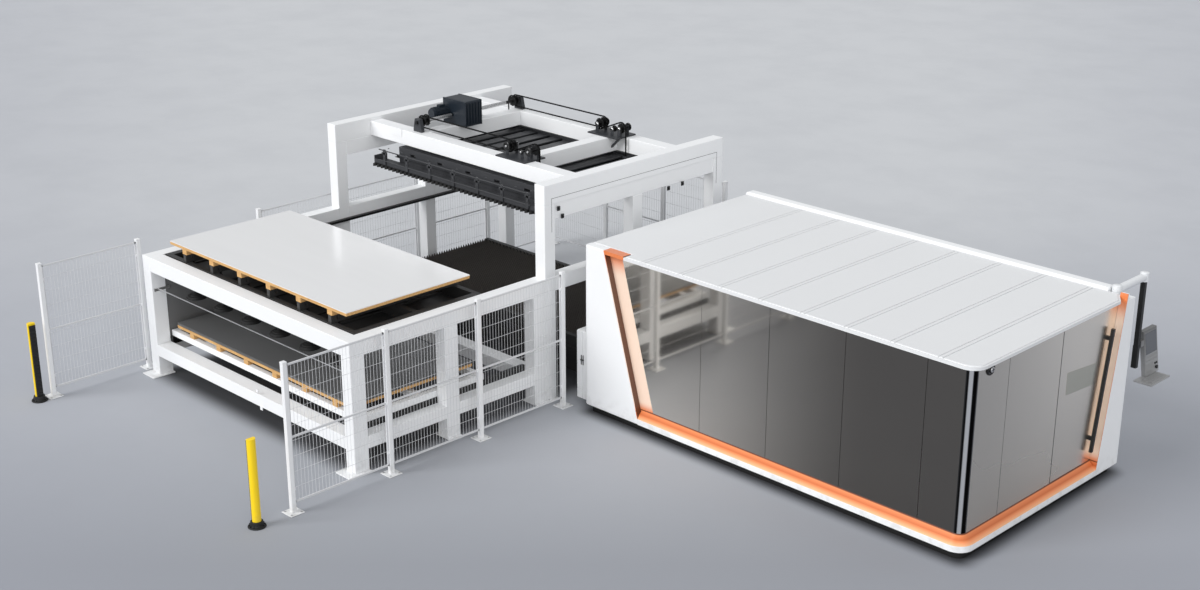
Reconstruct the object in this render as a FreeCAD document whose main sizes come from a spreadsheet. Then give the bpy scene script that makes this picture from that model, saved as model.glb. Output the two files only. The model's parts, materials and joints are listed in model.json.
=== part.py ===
import FreeCAD, Part
import os
import re
import Sketcher

# An automatic sheet cutting line, in millimetres: an enclosed laser machine, its exchange table,
# a loading gantry with a chain hoist, a rack with two pallet trolleys, a guard fence and two
# light-curtain posts. The origin is the middle of the laser machine's plinth, on the floor.
# X runs along the machine away from the gantry, Y to the rear, Z up.

SIZES = {
    # Laser machine: shell
    "machine_length": 6010,
    "machine_depth": 3400,
    "machine_height": 2370,
    "plinth_height": 108,
    "plinth_inset": 80,
    "wall_thickness": 60,
    "corner_radius": 200,
    "cover_radius": 60,
    "lip_height": 84,
    "reveal_depth": 100,
    "reveal_rise": 109,
    "reveal_plate": 12,
    "sill_width": 40,
    "left_arm_foot": 980,
    "left_arm_width": 225,
    "left_arm_lean": 0.2865,
    "end_arm_foot": 530,
    "end_arm_lean": 0.1518,
    "glass_thickness": 12,
    "glass_seam": 6,
    "front_seam_one": 1976,
    "front_seam_two": 3063,
    "front_seam_three": 4191,
    "front_seam_four": 5315,
    "side_seam_one": 820,
    "side_seam_two": 1956,
    # Laser machine: roof
    "roof_thickness": 38,
    "roof_panel_height": 12,
    "roof_border": 25,
    "roof_seam_width": 70,
    "roof_seam_strip": 46,
    "roof_start": 715,
    "roof_turn": 200,
    "roof_seam_start": 1045,
    "roof_seam_pitch": 640,
    "roof_seam_count": 8,
    "rim_depth": 160,
    "rim_height": 80,
    "rim_radius": 28,
    "rim_end": 285,
    "rim_plate": 12,
    # Laser machine: fittings
    "door_play": 4,
    "door_pin_radius": 5,
    "handle_top": 1996,
    "handle_foot": 450,
    "handle_setback": 145,
    "handle_standoff": 35,
    "handle_width": 40,
    "handle_block": 50,
    "button_setback": 420,
    "button_height": 2226,
    "button_radius": 75,
    "button_cap_radius": 34,
    "button_travel": 8,
    "cabinet_width": 220,
    "cabinet_depth": 430,
    "cabinet_lead": 70,
    "cabinet_foot": 120,
    "cabinet_top": 1100,
    "cabinet_door": 18,
    # Operator's console
    "console_setback": 210,
    "console_reach": 670,
    "console_tube": 50,
    "console_rim_setback": 80,
    "gasket_height": 6,
    "post_drop": 856,
    "post_side": 60,
    "post_case": 300,
    "monitor_thickness": 60,
    "monitor_width": 335,
    "monitor_height": 670,
    "monitor_lean": 0.30,
    "tray_depth": 190,
    # Inside the laser machine
    "bed_beam_width": 200,
    "bed_height": 900,
    "bed_inset": 250,
    "rail_height": 40,
    "rail_width": 60,
    "bridge_setback": 900,
    "bridge_width": 300,
    "bridge_height": 300,
    "shoe_height": 60,
    "carriage_width": 320,
    "carriage_plate": 40,
    "carriage_setback": 460,
    "head_radius": 45,
    "nozzle_height": 880,
    # Exchange table
    "table_length": 4850,
    "table_width": 2080,
    "table_centre": 1620,
    "table_gap": 100,
    "table_top": 720,
    "table_beam": 80,
    "table_rail_top": 545,
    "table_play": 40,
    "slat_pitch": 160,
    "slat_thickness": 12,
    "slat_height": 90,
    "slat_bar": 40,
    # Gantry
    "aisle": 590,
    "gantry_lead": 146,
    "cell_width": 4725,
    "gantry_depth": 3546,
    "gantry_height": 3060,
    "post_width": 190,
    "post_depth": 188,
    "top_beam_height": 275,
    "inner_rail_height": 215,
    "beam_recess": 15,
    "deck_height": 1769,
    "deck_beam": 210,
    "foot_plate": 20,
    "foot_overhang": 50,
    "foot_front": 140,
    "cross_beam_width": 220,
    "cross_beam_height": 220,
    "cross_beam_drop": 50,
    "cross_beam_span": 2010,
    "tie_beam_width": 200,
    "tie_beam_left": 1245,
    "tie_beam_middle": 3335,
    # Chain hoist
    "shaft_place": 1215,
    "shaft_rise": 140,
    "shaft_radius": 25,
    "bore_play": 0.3,
    "sprocket_radius": 75,
    "sprocket_teeth": 12,
    "sprocket_width": 18,
    "tooth_depth": 9,
    "chain_thickness": 22,
    "chain_play": 0.5,
    "bearing_width": 60,
    "gearbox_lead": 195,
    "gearbox_width": 500,
    "gearbox_depth": 312,
    "gearbox_back": 48,
    "gearbox_height": 380,
    "motor_radius": 80,
    "motor_length": 307,
    "loop_row": 72,
    "fall_row": 152,
    "loop_axle": 3124,
    "guide_axle": 3430,
    "fall_axle": 3571,
    "axle_radius": 15,
    "roller_radius": 45,
    "station_start": 3015,
    "station_length": 600,
    "station_width": 400,
    "station_margin": 102,
    "station_plate": 20,
    "upright_width": 56,
    "upright_plate": 10,
    "outer_upright": 22,
    "inner_upright": 201,
    "brace_drop": 165,
    "brace_width": 40,
    # Lift frame with its two combs
    "lift_length": 3570,
    "lift_span": 2854,
    "lift_foot": 2490,
    "lift_height": 250,
    "lift_beam": 150,
    "lift_lead": 300,
    "comb_shelf": 300,
    "comb_height": 40,
    "comb_bar": 100,
    "tooth_length": 60,
    "tooth_width": 44,
    "tooth_pitch": 90,
    # Rack and trolleys
    "rack_depth": 3250,
    "rack_post_depth": 215,
    "rack_middle": 1486,
    "low_beam_foot": 300,
    "low_beam_top": 470,
    "trolley_rail_width": 60,
    "trolley_rail_height": 40,
    "trolley_play": 10,
    "trolley_side": 100,
    "low_rail_top": 550,
    "high_rail_drop": 169,
    "trolley_gap": 25,
    "trolley_depth": 2060,
    "arm_height": 110,
    "arm_width": 60,
    "arm_pitch": 660,
    "bearer_height": 50,
    "board_height": 60,
    "sheet_length": 4000,
    "sheet_width": 2000,
    "sheet_lead": 243,
    "sheet_height": 10,
    "stack_height": 40,
    "cup_radius": 140,
    "cup_height": 80,
    "cup_foot": 1220,
    "cup_setback": 140,
    "cup_stem": 16,
    "stop_rod_height": 1280,
    "stop_rod_radius": 9,
    "stop_bracket": 8,
    # Guard fence and light-curtain posts
    "fence_gap": 215,
    "fence_aisle": 260,
    "fence_height": 1930,
    "fence_post": 60,
    "fence_foot": 200,
    "fence_pitch": 1490,
    "fence_long_bay": 2020,
    "fence_rear": 1250,
    "rear_pitch": 1310,
    "right_pitch": 1480,
    "right_fence_lead": 86,
    "panel_thickness": 10,
    "panel_rail": 34,
    "panel_wire": 16,
    "panel_foot": 120,
    "panel_middle": 950,
    "panel_top": 1895,
    "panel_columns": 3,
    "light_post_height": 1130,
    "light_post_radius": 55,
    "light_foot_radius": 110,
    "light_foot_height": 70,
    "light_foot_step": 35,
    "light_lead": 210,
    "light_setback": 10,
}

doc = FreeCAD.newDocument("sheet_cutting_line")
sheet = doc.addObject("Spreadsheet::Sheet", "Sizes")
for row, (alias, size) in enumerate(SIZES.items(), start=1):
    sheet.set(f"A{row}", alias)
    sheet.set(f"B{row}", str(size))
    sheet.setAlias(f"B{row}", alias)
doc.recompute()

nodes = []


# ---------------------------------------------------------------- helpers

def bound(expression):
    """Point each size's word in an expression at its cell."""
    return re.sub(r"[a-z]\w*", lambda word: f"Sizes.{word[0]}" if word[0] in SIZES else word[0],
                  str(expression))


def number(expression):
    """The present value of an expression."""
    return float(sheet.evalExpression(bound(expression)))


def bind(piece, **expressions):
    """Bind properties; a double underscore in a name stands for a dot."""
    for name, expression in expressions.items():
        piece.setExpression(name.replace("__", "."), bound(expression))
    return piece


def place(piece, x=0, y=0, z=0):
    """Bind a piece's position."""
    return bind(piece, Placement__Base__x=x, Placement__Base__y=y, Placement__Base__z=z)


def block(x, y, z):
    """A block between pairs of faces."""
    piece = doc.addObject("Part::Box", "block")
    sides = {name: f"({end}) - ({start})" for name, (start, end) in zip(("Length", "Width", "Height"),
                                                                        (x, y, z))}
    bind(piece, **sides)
    return place(piece, x[0], y[0], z[0])


TURNS = (
    FreeCAD.Rotation(FreeCAD.Vector(0, 1, 0), 90),
    FreeCAD.Rotation(FreeCAD.Vector(1, 0, 0), -90),
    FreeCAD.Rotation(),
)


def rod(x, y, z, radius, end_radius=None, sides=None):
    """A round bar, a cone or a many-sided bar along the axis whose place is a pair."""
    places = [x, y, z]
    along = next(axis for axis, value in enumerate(places) if isinstance(value, tuple))
    start, end = places[along]
    places[along] = start
    if sides:
        piece = bind(doc.addObject("Part::Prism", "bar"), Circumradius=radius)
        piece.Polygon = sides
    elif end_radius is None:
        piece = bind(doc.addObject("Part::Cylinder", "bar"), Radius=radius)
    else:
        piece = bind(doc.addObject("Part::Cone", "cone"), Radius1=radius, Radius2=end_radius)
    piece.Placement = FreeCAD.Placement(FreeCAD.Vector(), TURNS[along])
    bind(piece, Height=f"({end}) - ({start})")
    return place(piece, *places)


def corner_round(piece, x, y):
    """Keep the quarter of an upright round piece that faces the machine's front right corner."""
    piece.Angle = 90
    piece.Placement = FreeCAD.Placement(FreeCAD.Vector(), FreeCAD.Rotation(FreeCAD.Vector(0, 0, 1), -90))
    return bind(piece, Placement__Base__x=x, Placement__Base__y=y)


BORE_SIDES = 12
ROUND_SIDES = 20


def bore(x, y, z, radius):
    """The tool for a bore: a many-sided bar whose flats clear a shaft of the radius."""
    return rod(x, y, z, f"({radius} + bore_play) / cos(180 deg / {BORE_SIDES})", sides=BORE_SIDES)


def joined(pieces, label="join"):
    """Pieces fused to one solid."""
    piece = doc.addObject("Part::MultiFuse", label)
    piece.Shapes = pieces
    piece.Refine = True
    return piece


def cut(base, tool):
    """One piece less another."""
    piece = doc.addObject("Part::Cut", "cut")
    piece.Base = base
    piece.Tool = tool
    return piece


def node(label, *pieces):
    """Register a sub-part: one piece, or a group of separate ones."""
    if len(pieces) == 1:
        piece = pieces[0]
    else:
        piece = doc.addObject("Part::Compound", "group")
        piece.Links = list(pieces)
    piece.Label = label
    nodes.append(piece)
    return piece


def origin_plane(body, role):
    """A body's own origin plane."""
    return next(item for item in body.Origin.OriginFeatures if item.Role == role)


def draw(body, plane, points, offset):
    """A closed outline of straight sides, each corner bound to its two expressions."""
    sketch = body.newObject("Sketcher::SketchObject", "outline")
    sketch.AttachmentSupport = (origin_plane(body, plane), [""])
    sketch.MapMode = "FlatFace"
    corners = [FreeCAD.Vector(number(across), number(up), 0) for across, up in points]
    following = corners[1:] + corners[:1]
    sketch.addGeometry([Part.LineSegment(start, end) for start, end in zip(corners, following)])
    for side, (across, up) in enumerate(points):
        sketch.addConstraint(Sketcher.Constraint("Coincident", side, 2, (side + 1) % len(points), 1))
        for kind, name, value in (("DistanceX", "across", across), ("DistanceY", "upward", up)):
            index = sketch.addConstraint(Sketcher.Constraint(kind, -1, 1, side, 1, number(value)))
            sketch.renameConstraint(index, f"{name}{side}")
            sketch.setExpression(f"Constraints.{name}{side}", bound(value))
    bind(sketch, AttachmentOffset__Base__z=offset)
    return sketch


def pad(points, x=None, y=None, z=None, body=None):
    """An outline padded along the axis whose pair of faces is given."""
    body = body or doc.addObject("PartDesign::Body", "body")
    if x:
        sketch = draw(body, "YZ_Plane", points, x[0])
    elif y:
        sketch = draw(body, "XZ_Plane", points, f"-({y[1]})")
    else:
        sketch = draw(body, "XY_Plane", points, z[0])
    start, end = x or y or z
    feature = body.newObject("PartDesign::Pad", "pad")
    feature.Profile = sketch
    bind(feature, Length=f"({end}) - ({start})")
    return body


def rounded(body, radius, *tests):
    """Round the edges of a body whose every point passes one of the tests."""
    doc.recompute()
    base = body.Tip
    edges = base.Shape.Edges
    chosen = [
        f"Edge{number_of}" for number_of, edge in enumerate(edges, start=1)
        if any(all(test(vertex.Point) for vertex in edge.Vertexes) for test in tests)
    ]
    feature = body.newObject("PartDesign::Fillet", "round")
    feature.Base = (base, chosen)
    bind(feature, Radius=radius)
    body.Tip = feature
    return body


def near(first, expression):
    """Whether a number is at an expression's value."""
    return abs(first - number(expression)) < 0.01


# ---------------------------------------------------------------- shared places

LEFT = "(-machine_length / 2)"
RIGHT = "(machine_length / 2)"
FRONT = "(-machine_depth / 2)"
BACK = "(machine_depth / 2)"
ROOF_UNDER = "(machine_height - roof_panel_height - roof_thickness)"
ROOF_DECK = "(machine_height - roof_panel_height)"
LIP_TOP = "(plinth_height + lip_height)"
SILL_TOP = "(plinth_height + lip_height + reveal_rise)"
FRAME_DEPTH = "(reveal_depth + sill_width)"
GLASS_FRONT = f"({FRONT} + reveal_depth)"
GLASS_RIGHT = f"({RIGHT} - reveal_depth)"
CORNER_X = f"({RIGHT} - corner_radius)"
CORNER_Y = f"({FRONT} + corner_radius)"
RIM_FRONT = f"({BACK} - rim_depth)"
RIM_TOP = f"({ROOF_UNDER} + rim_height)"
COVER_BACK = f"({FRONT} + {FRAME_DEPTH})"
ROOF_START = f"({LEFT} + roof_start)"
LEFT_FOOT = f"({LEFT} + left_arm_foot)"
END_FOOT = f"({BACK} - end_arm_foot)"

TABLE_RIGHT = f"({LEFT} - table_gap)"
TABLE_LEFT = f"({LEFT} - table_gap - table_length)"
TABLE_FRONT = f"({FRONT} + table_centre - table_width / 2)"
TABLE_BACK = f"({FRONT} + table_centre + table_width / 2)"

CELL_RIGHT = f"({LEFT} - aisle)"
CELL_LEFT = f"({LEFT} - aisle - cell_width)"
CELL_CENTRE = f"({LEFT} - aisle - cell_width / 2)"
INNER_LEFT = f"({CELL_LEFT} + post_width)"
INNER_RIGHT = f"({CELL_RIGHT} - post_width)"
GANTRY_FRONT = f"({FRONT} - gantry_lead)"
GANTRY_BACK = f"({GANTRY_FRONT} + gantry_depth)"
GANTRY_CENTRE = f"({GANTRY_FRONT} + gantry_depth / 2)"
RACK_FRONT = f"({GANTRY_FRONT} - rack_depth)"
CROSS_TOP = "(gantry_height - cross_beam_drop)"
SHAFT_X = f"({CELL_LEFT} + shaft_place)"
SHAFT_Z = f"({CROSS_TOP} + shaft_rise)"


def left_arm(height):
    """Where the left arm's outer edge is, at a height."""
    return f"({LEFT_FOOT} - left_arm_lean * (({height}) - {LIP_TOP}))"


def end_arm(height):
    """Where the end arm's front edge is, at a height."""
    return f"({END_FOOT} + end_arm_lean * (({height}) - {LIP_TOP}))"


def at_front_right(point):
    """Whether a point lies on the machine's front right upright corner."""
    return near(point.x, RIGHT) and near(point.y, FRONT)


def rectangle(x, y):
    """Corner points of a rectangle between pairs of sides."""
    return [(x[0], y[0]), (x[1], y[0]), (x[1], y[1]), (x[0], y[1])]


# ---------------------------------------------------------------- laser machine: shell

def machine_plinth():
    """The dark base, set back under the shell, with its front right corner rounded."""
    side = (f"{LEFT} + plinth_inset", f"{RIGHT} - plinth_inset")
    depth = (f"{FRONT} + plinth_inset", f"{BACK} - plinth_inset")
    body = pad(rectangle(side, depth), z=("0", "plinth_height"))
    corner = lambda point: near(point.x, side[1]) and near(point.y, depth[0])
    node("machine_plinth", rounded(body, "corner_radius - plinth_inset", corner))


def lower_lip():
    """The white band along the foot of the front and end, round the corner."""
    height = ("plinth_height", LIP_TOP)
    front = block((LEFT_FOOT, CORNER_X), (FRONT, f"{FRONT} + {FRAME_DEPTH}"), height)
    end = block((f"{RIGHT} - {FRAME_DEPTH}", RIGHT), (CORNER_Y, END_FOOT), height)
    outer = corner_round(rod(CORNER_X, CORNER_Y, height, "corner_radius"), CORNER_X, CORNER_Y)
    inner = rod(CORNER_X, CORNER_Y, height, f"corner_radius - {FRAME_DEPTH}")
    node("lower_lip", joined([front, end, cut(outer, inner)]))


def reveal_frame():
    """The coloured reveal round the glass: two leaning arms and the sloping foot between them."""
    inner = f"({FRONT} + {FRAME_DEPTH})"
    front_section = [(FRONT, LIP_TOP), (inner, LIP_TOP), (inner, SILL_TOP), (GLASS_FRONT, SILL_TOP)]
    front = pad(front_section, x=(LEFT_FOOT, CORNER_X))
    inner_end = f"({RIGHT} - {FRAME_DEPTH})"
    end_section = [(RIGHT, LIP_TOP), (inner_end, LIP_TOP), (inner_end, SILL_TOP), (GLASS_RIGHT, SILL_TOP)]
    end = pad(end_section, y=(CORNER_Y, END_FOOT))
    cone = rod(CORNER_X, CORNER_Y, (LIP_TOP, SILL_TOP), "corner_radius", "corner_radius - reveal_depth")
    core = rod(CORNER_X, CORNER_Y, (LIP_TOP, SILL_TOP), f"corner_radius - {FRAME_DEPTH}")
    corner = cut(corner_round(cone, CORNER_X, CORNER_Y), core)
    arm_points = [
        (end_arm(LIP_TOP), LIP_TOP),
        (f"{end_arm(LIP_TOP)} + reveal_plate", LIP_TOP),
        (f"{end_arm(RIM_TOP)} + reveal_plate", RIM_TOP),
        (end_arm(RIM_TOP), RIM_TOP),
    ]
    end_arm_plate = pad(arm_points, x=(GLASS_RIGHT, RIGHT))
    band_points = [
        (left_arm(ROOF_UNDER), ROOF_UNDER),
        (ROOF_START, ROOF_UNDER),
        (ROOF_START, "machine_height"),
        (left_arm("machine_height"), "machine_height"),
    ]
    top_band = pad(band_points, y=(FRONT, COVER_BACK))
    node("reveal_frame", joined([front, end, corner, end_arm_plate, top_band, left_arm_facet()]))


def left_arm_facet():
    """The left arm: a plate set back from the cover, then a wide face, carried up along the arm's lean."""
    outer = left_arm(LIP_TOP)
    section = [
        (outer, FRONT),
        (f"{outer} + reveal_plate", FRONT),
        (f"{outer} + reveal_plate", f"{GLASS_FRONT} - reveal_plate"),
        (f"{outer} + left_arm_width", GLASS_FRONT),
        (outer, GLASS_FRONT),
    ]
    profile = doc.addObject("PartDesign::Body", "body")
    sketch = draw(profile, "XY_Plane", section, LIP_TOP)
    facet = doc.addObject("Part::Extrusion", "facet")
    facet.Base = sketch
    facet.DirMode = "Custom"
    facet.Dir = FreeCAD.Vector(0, 0, 1)
    facet.Solid = True
    reach = f"({ROOF_UNDER} - {LIP_TOP}) * sqrt(1 + left_arm_lean ^ 2)"
    bind(facet, Dir__x="-left_arm_lean", LengthFwd=reach)
    return facet


def left_cover():
    """The white front cover beside the left arm, with its outer upright edge rounded."""
    points = [
        (LEFT, "plinth_height"),
        (LEFT_FOOT, "plinth_height"),
        (LEFT_FOOT, LIP_TOP),
        (left_arm("machine_height"), "machine_height"),
        (LEFT, "machine_height"),
    ]
    body = pad(points, y=(FRONT, COVER_BACK))
    edge = lambda point: near(point.x, LEFT) and near(point.y, FRONT)
    node("left_cover", rounded(body, "cover_radius", edge))


def end_walls():
    """The left wall with the table's opening, the rear wall and the white cover behind the end arm."""
    wall = block((LEFT, f"{LEFT} + wall_thickness"), (f"{FRONT} + {FRAME_DEPTH}", BACK),
                 ("plinth_height", ROOF_UNDER))
    opening = block(
        (f"{LEFT} - wall_thickness", f"{LEFT} + wall_thickness * 2"),
        (f"{TABLE_FRONT} - table_play * 1.5", f"{TABLE_BACK} + table_play * 1.5"),
        ("table_rail_top - 65", "table_top + 330"),
    )
    node("left_wall", cut(wall, opening))
    span = (f"{LEFT} + wall_thickness", GLASS_RIGHT)
    node("rear_wall", block(span, (f"{BACK} - wall_thickness", BACK), ("plinth_height", ROOF_UNDER)))
    points = [
        (END_FOOT, "plinth_height"),
        (BACK, "plinth_height"),
        (BACK, ROOF_UNDER),
        (RIM_FRONT, ROOF_UNDER),
        (RIM_FRONT, RIM_TOP),
        (f"{end_arm(RIM_TOP)} + reveal_plate", RIM_TOP),
        (f"{END_FOOT} + reveal_plate", LIP_TOP),
        (END_FOOT, LIP_TOP),
    ]
    node("end_cover", pad(points, x=(GLASS_RIGHT, RIGHT)))


def roof_outline(border):
    """The roof's outline set in by a border: it is cut back round the left arm and the end arm."""
    return [
        (f"{LEFT} + {border}", f"{COVER_BACK} + {border}"),
        (f"{ROOF_START} + {border}", f"{COVER_BACK} + {border}"),
        (f"{ROOF_START} + {border}", f"{FRONT} + {border}"),
        (f"{RIGHT} - {border}", f"{FRONT} + {border}"),
        (f"{RIGHT} - {border}", f"{RIM_FRONT} - roof_turn - {border}"),
        (f"{GLASS_RIGHT} - {border}", f"{end_arm(ROOF_UNDER)} - {border}"),
        (f"{GLASS_RIGHT} - {border}", f"{RIM_FRONT} - {border}"),
        (f"{LEFT} + {border}", f"{RIM_FRONT} - {border}"),
    ]


def roof():
    """The roof deck, its raised panels with double seams, and the rear rim with the console's corner."""
    deck = pad(roof_outline("0"), z=(ROOF_UNDER, ROOF_DECK))
    node("roof_deck", rounded(deck, "corner_radius", at_front_right))
    outline = roof_outline("roof_border")
    depth = (outline[2][1], outline[7][1])
    first = f"{LEFT} + roof_seam_start"
    seams = [f"({first} + roof_seam_pitch * {seam})" for seam in range(int(SIZES["roof_seam_count"]))]
    height = (ROOF_DECK, "machine_height")
    first_end = f"{seams[0]} - roof_seam_width / 2"
    first = pad(outline[:3] + [(first_end, depth[0]), (first_end, depth[1]), outline[7]], z=height)
    panels = [first]
    for start, end in zip(seams, seams[1:]):
        panels.append(block((f"{start} + roof_seam_width / 2", f"{end} - roof_seam_width / 2"), depth,
                            height))
    for seam in seams:
        panels.append(block((f"{seam} - roof_seam_strip / 2", f"{seam} + roof_seam_strip / 2"), depth,
                            height))
    last_start = f"{seams[-1]} + roof_seam_width / 2"
    last = pad([(last_start, depth[0])] + outline[3:7] + [(last_start, depth[1])], z=height)
    corner = lambda point: near(point.x, outline[3][0]) and near(point.y, outline[3][1])
    panels.append(rounded(last, "corner_radius - roof_border", corner))
    node("roof_panels", *panels)
    rim = pad(rectangle((LEFT, f"{RIGHT} - rim_end"), (RIM_FRONT, BACK)), z=(ROOF_UNDER, RIM_TOP))
    top = lambda point: near(point.z, RIM_TOP)
    plate_x = (f"{RIGHT} - rim_end - rim_height", GLASS_RIGHT)
    plate = block(plate_x, (RIM_FRONT, f"{BACK} - wall_thickness"),
                  (f"{ROOF_UNDER} - rim_plate", ROOF_UNDER))
    node("rear_rim", joined([rounded(rim, "rim_radius", top), plate]))


# ---------------------------------------------------------------- laser machine: glass and door

def front_glass():
    """Five dark panes with open seams; the first follows the left arm."""
    depth = (GLASS_FRONT, f"{GLASS_FRONT} + glass_thickness")
    seams = [f"({LEFT} + front_seam_{name})" for name in ("one", "two", "three", "four")]
    first_edge = f"{seams[0]} - glass_seam / 2"
    first = pad(
        [
            (f"{left_arm(SILL_TOP)} + left_arm_width", SILL_TOP),
            (first_edge, SILL_TOP),
            (first_edge, ROOF_UNDER),
            (f"{left_arm(ROOF_UNDER)} + left_arm_width", ROOF_UNDER),
        ],
        y=depth,
    )
    panes = [first]
    for start, end in zip(seams, seams[1:] + [CORNER_X]):
        edge = end if end == CORNER_X else f"{end} - glass_seam / 2"
        panes.append(block((f"{start} + glass_seam / 2", edge), depth, (SILL_TOP, ROOF_UNDER)))
    node("front_glass", *panes)


def corner_trim():
    """The quarter-round upright trim where front and end glass meet."""
    height = (SILL_TOP, ROOF_UNDER)
    outer = corner_round(rod(CORNER_X, CORNER_Y, height, "corner_radius - reveal_depth"), CORNER_X, CORNER_Y)
    inner = rod(CORNER_X, CORNER_Y, height, "corner_radius - reveal_depth - glass_thickness")
    node("corner_trim", cut(outer, inner))


def side_glass():
    """Two fixed panes on the machine's end."""
    depth = (f"{GLASS_RIGHT} - glass_thickness", GLASS_RIGHT)
    seam = f"({FRONT} + side_seam_one)"
    door_seam = f"({FRONT} + side_seam_two)"
    height = (SILL_TOP, ROOF_UNDER)
    first = block(depth, (CORNER_Y, f"{seam} - glass_seam / 2"), height)
    second = block(depth, (f"{seam} + glass_seam / 2", f"{door_seam} - glass_seam / 2"), height)
    node("side_glass", first, second)


def door():
    """The swing door with its pivot pins, and its bar handle that leans with the arm."""
    depth = (f"{GLASS_RIGHT} - glass_thickness", GLASS_RIGHT)
    hinge_edge = f"({FRONT} + side_seam_two + glass_seam / 2)"
    foot, top = f"({SILL_TOP} + door_play)", f"({ROOF_UNDER} - door_play)"
    leaf = pad(
        [
            (hinge_edge, foot),
            (f"{end_arm(foot)} - door_play", foot),
            (f"{end_arm(top)} - door_play", top),
            (hinge_edge, top),
        ],
        x=depth,
    )
    pin_x, pin_y = f"{GLASS_RIGHT} - glass_thickness / 2", f"{hinge_edge} + glass_thickness / 2"
    pin = rod(pin_x, pin_y, (SILL_TOP, ROOF_UNDER), "door_pin_radius", sides=BORE_SIDES)
    node("door_leaf", joined([leaf, pin]))

    handle_x = (f"{GLASS_RIGHT} + handle_standoff", f"{GLASS_RIGHT} + handle_standoff + handle_width")
    bar = leaning_strip("handle_foot", "handle_top", "handle_setback", "handle_width", handle_x)
    blocks = []
    for height in ("(handle_foot + handle_setback)", "(handle_top - handle_setback)"):
        edge = f"({end_arm(height)} - handle_setback)"
        rows = (f"{edge} + 5", f"{edge} + handle_width - 5")
        blocks.append(block((GLASS_RIGHT, handle_x[0]), rows, (height, f"{height} + handle_block")))
    node("door_handle", joined([bar] + blocks))


def leaning_strip(foot, top, setback, width, x):
    """A strip that leans with the end arm, a set distance in front of it."""
    points = [
        (f"{end_arm(foot)} - ({setback})", foot),
        (f"{end_arm(foot)} - ({setback}) + {width}", foot),
        (f"{end_arm(top)} - ({setback}) + {width}", top),
        (f"{end_arm(top)} - ({setback})", top),
    ]
    return pad(points, x=x)


def end_button():
    """The round button high on the end glass: a fixed ring and a cap that is pressed."""
    y = f"({FRONT} + button_setback)"
    ring = rod((GLASS_RIGHT, f"{GLASS_RIGHT} + 20"), y, "button_height", "button_radius", sides=ROUND_SIDES)
    hole = bore((f"{GLASS_RIGHT} - 1", f"{GLASS_RIGHT} + 30"), y, "button_height", "button_cap_radius")
    node("button_ring", cut(ring, hole))
    cap = (f"{GLASS_RIGHT} + button_travel + 1", f"{GLASS_RIGHT} + button_travel + 30")
    node("button_cap", rod(cap, y, "button_height", "button_cap_radius", sides=ROUND_SIDES))


def side_cabinet():
    """The low electrical cabinet on the left wall, with two doors."""
    x = (f"{LEFT} - cabinet_width", LEFT)
    y = (f"{FRONT} + cabinet_lead", f"{FRONT} + cabinet_lead + cabinet_depth")
    height = ("cabinet_foot", "cabinet_top")
    case = block(x, (f"{y[0]} + cabinet_door", y[1]), height)
    middle = f"({LEFT} - cabinet_width / 2)"
    doors = [
        block(side, (y[0], f"{y[0]} + cabinet_door"), ("cabinet_foot + 6", "cabinet_top - 6"))
        for side in ((f"{x[0]} + 4", f"{middle} - 2"), (f"{middle} + 2", f"{x[1]} - 4"))
    ]
    node("side_cabinet", case, *doors)


# ---------------------------------------------------------------- operator's console

CONSOLE_X = f"({RIGHT} - console_setback)"
CONSOLE_Y = f"({BACK} - console_rim_setback)"
TUBE_Z = f"({ROOF_UNDER} + gasket_height + console_tube)"
POST_Y = f"({CONSOLE_Y} + console_reach)"


def console():
    """The swing arm on its gasket, and the hanging head with its post, monitor and tray."""
    deck = f"({ROOF_UNDER} + gasket_height)"
    gasket = rod(CONSOLE_X, CONSOLE_Y, (ROOF_UNDER, deck), "console_tube + 5", sides=ROUND_SIDES)
    node("console_bracket", gasket)
    top = f"{TUBE_Z} + console_tube + 4"
    turret = rod(CONSOLE_X, CONSOLE_Y, (deck, top), "console_tube + 10", sides=ROUND_SIDES)
    tube = rod(CONSOLE_X, (CONSOLE_Y, POST_Y), TUBE_Z, "console_tube")
    elbow_z = (f"{TUBE_Z} - console_tube - 4", top)
    elbow = rod(CONSOLE_X, POST_Y, elbow_z, "console_tube + 8", sides=ROUND_SIDES)
    node("console_arm", joined([turret, tube, elbow]))

    neck_top = f"({TUBE_Z} - console_tube - 4)"
    post_foot = f"({neck_top} - post_drop)"
    half = "post_side / 2"
    post_x, post_y = (f"{CONSOLE_X} - {half}", f"{CONSOLE_X} + {half}"), (f"{POST_Y} - {half}",
                                                                          f"{POST_Y} + {half}")
    post = block(post_x, post_y, (post_foot, neck_top))
    case = block((f"{post_x[0]} - 5", f"{post_x[1]} + 5"), post_y, (f"{post_foot} - post_case", post_foot))
    panel_x = (f"{CONSOLE_X} - monitor_thickness / 2", f"{CONSOLE_X} + monitor_thickness / 2")
    panel_top = f"({post_foot} + 160)"
    panel_foot = f"({panel_top} - monitor_height)"
    start = f"({POST_Y} + 85)"
    shift = "monitor_lean * monitor_height"
    panel = pad(
        [
            (f"{start} + {shift}", panel_foot),
            (f"{start} + {shift} + monitor_width", panel_foot),
            (f"{start} + monitor_width", panel_top),
            (start, panel_top),
        ],
        x=panel_x,
    )
    neck = block(panel_x, (post_y[1], f"{start} + 60"), (f"{post_foot} - 40", f"{post_foot} + 40"))
    tray_y = (start, f"{start} + {shift} + monitor_width - 60")
    tray = block((panel_x[0], f"{panel_x[1]} + tray_depth"), tray_y, (f"{panel_foot} - 20", panel_foot))
    node("console_head", joined([post, case, neck, panel, tray]))


# ---------------------------------------------------------------- inside the laser machine

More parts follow.
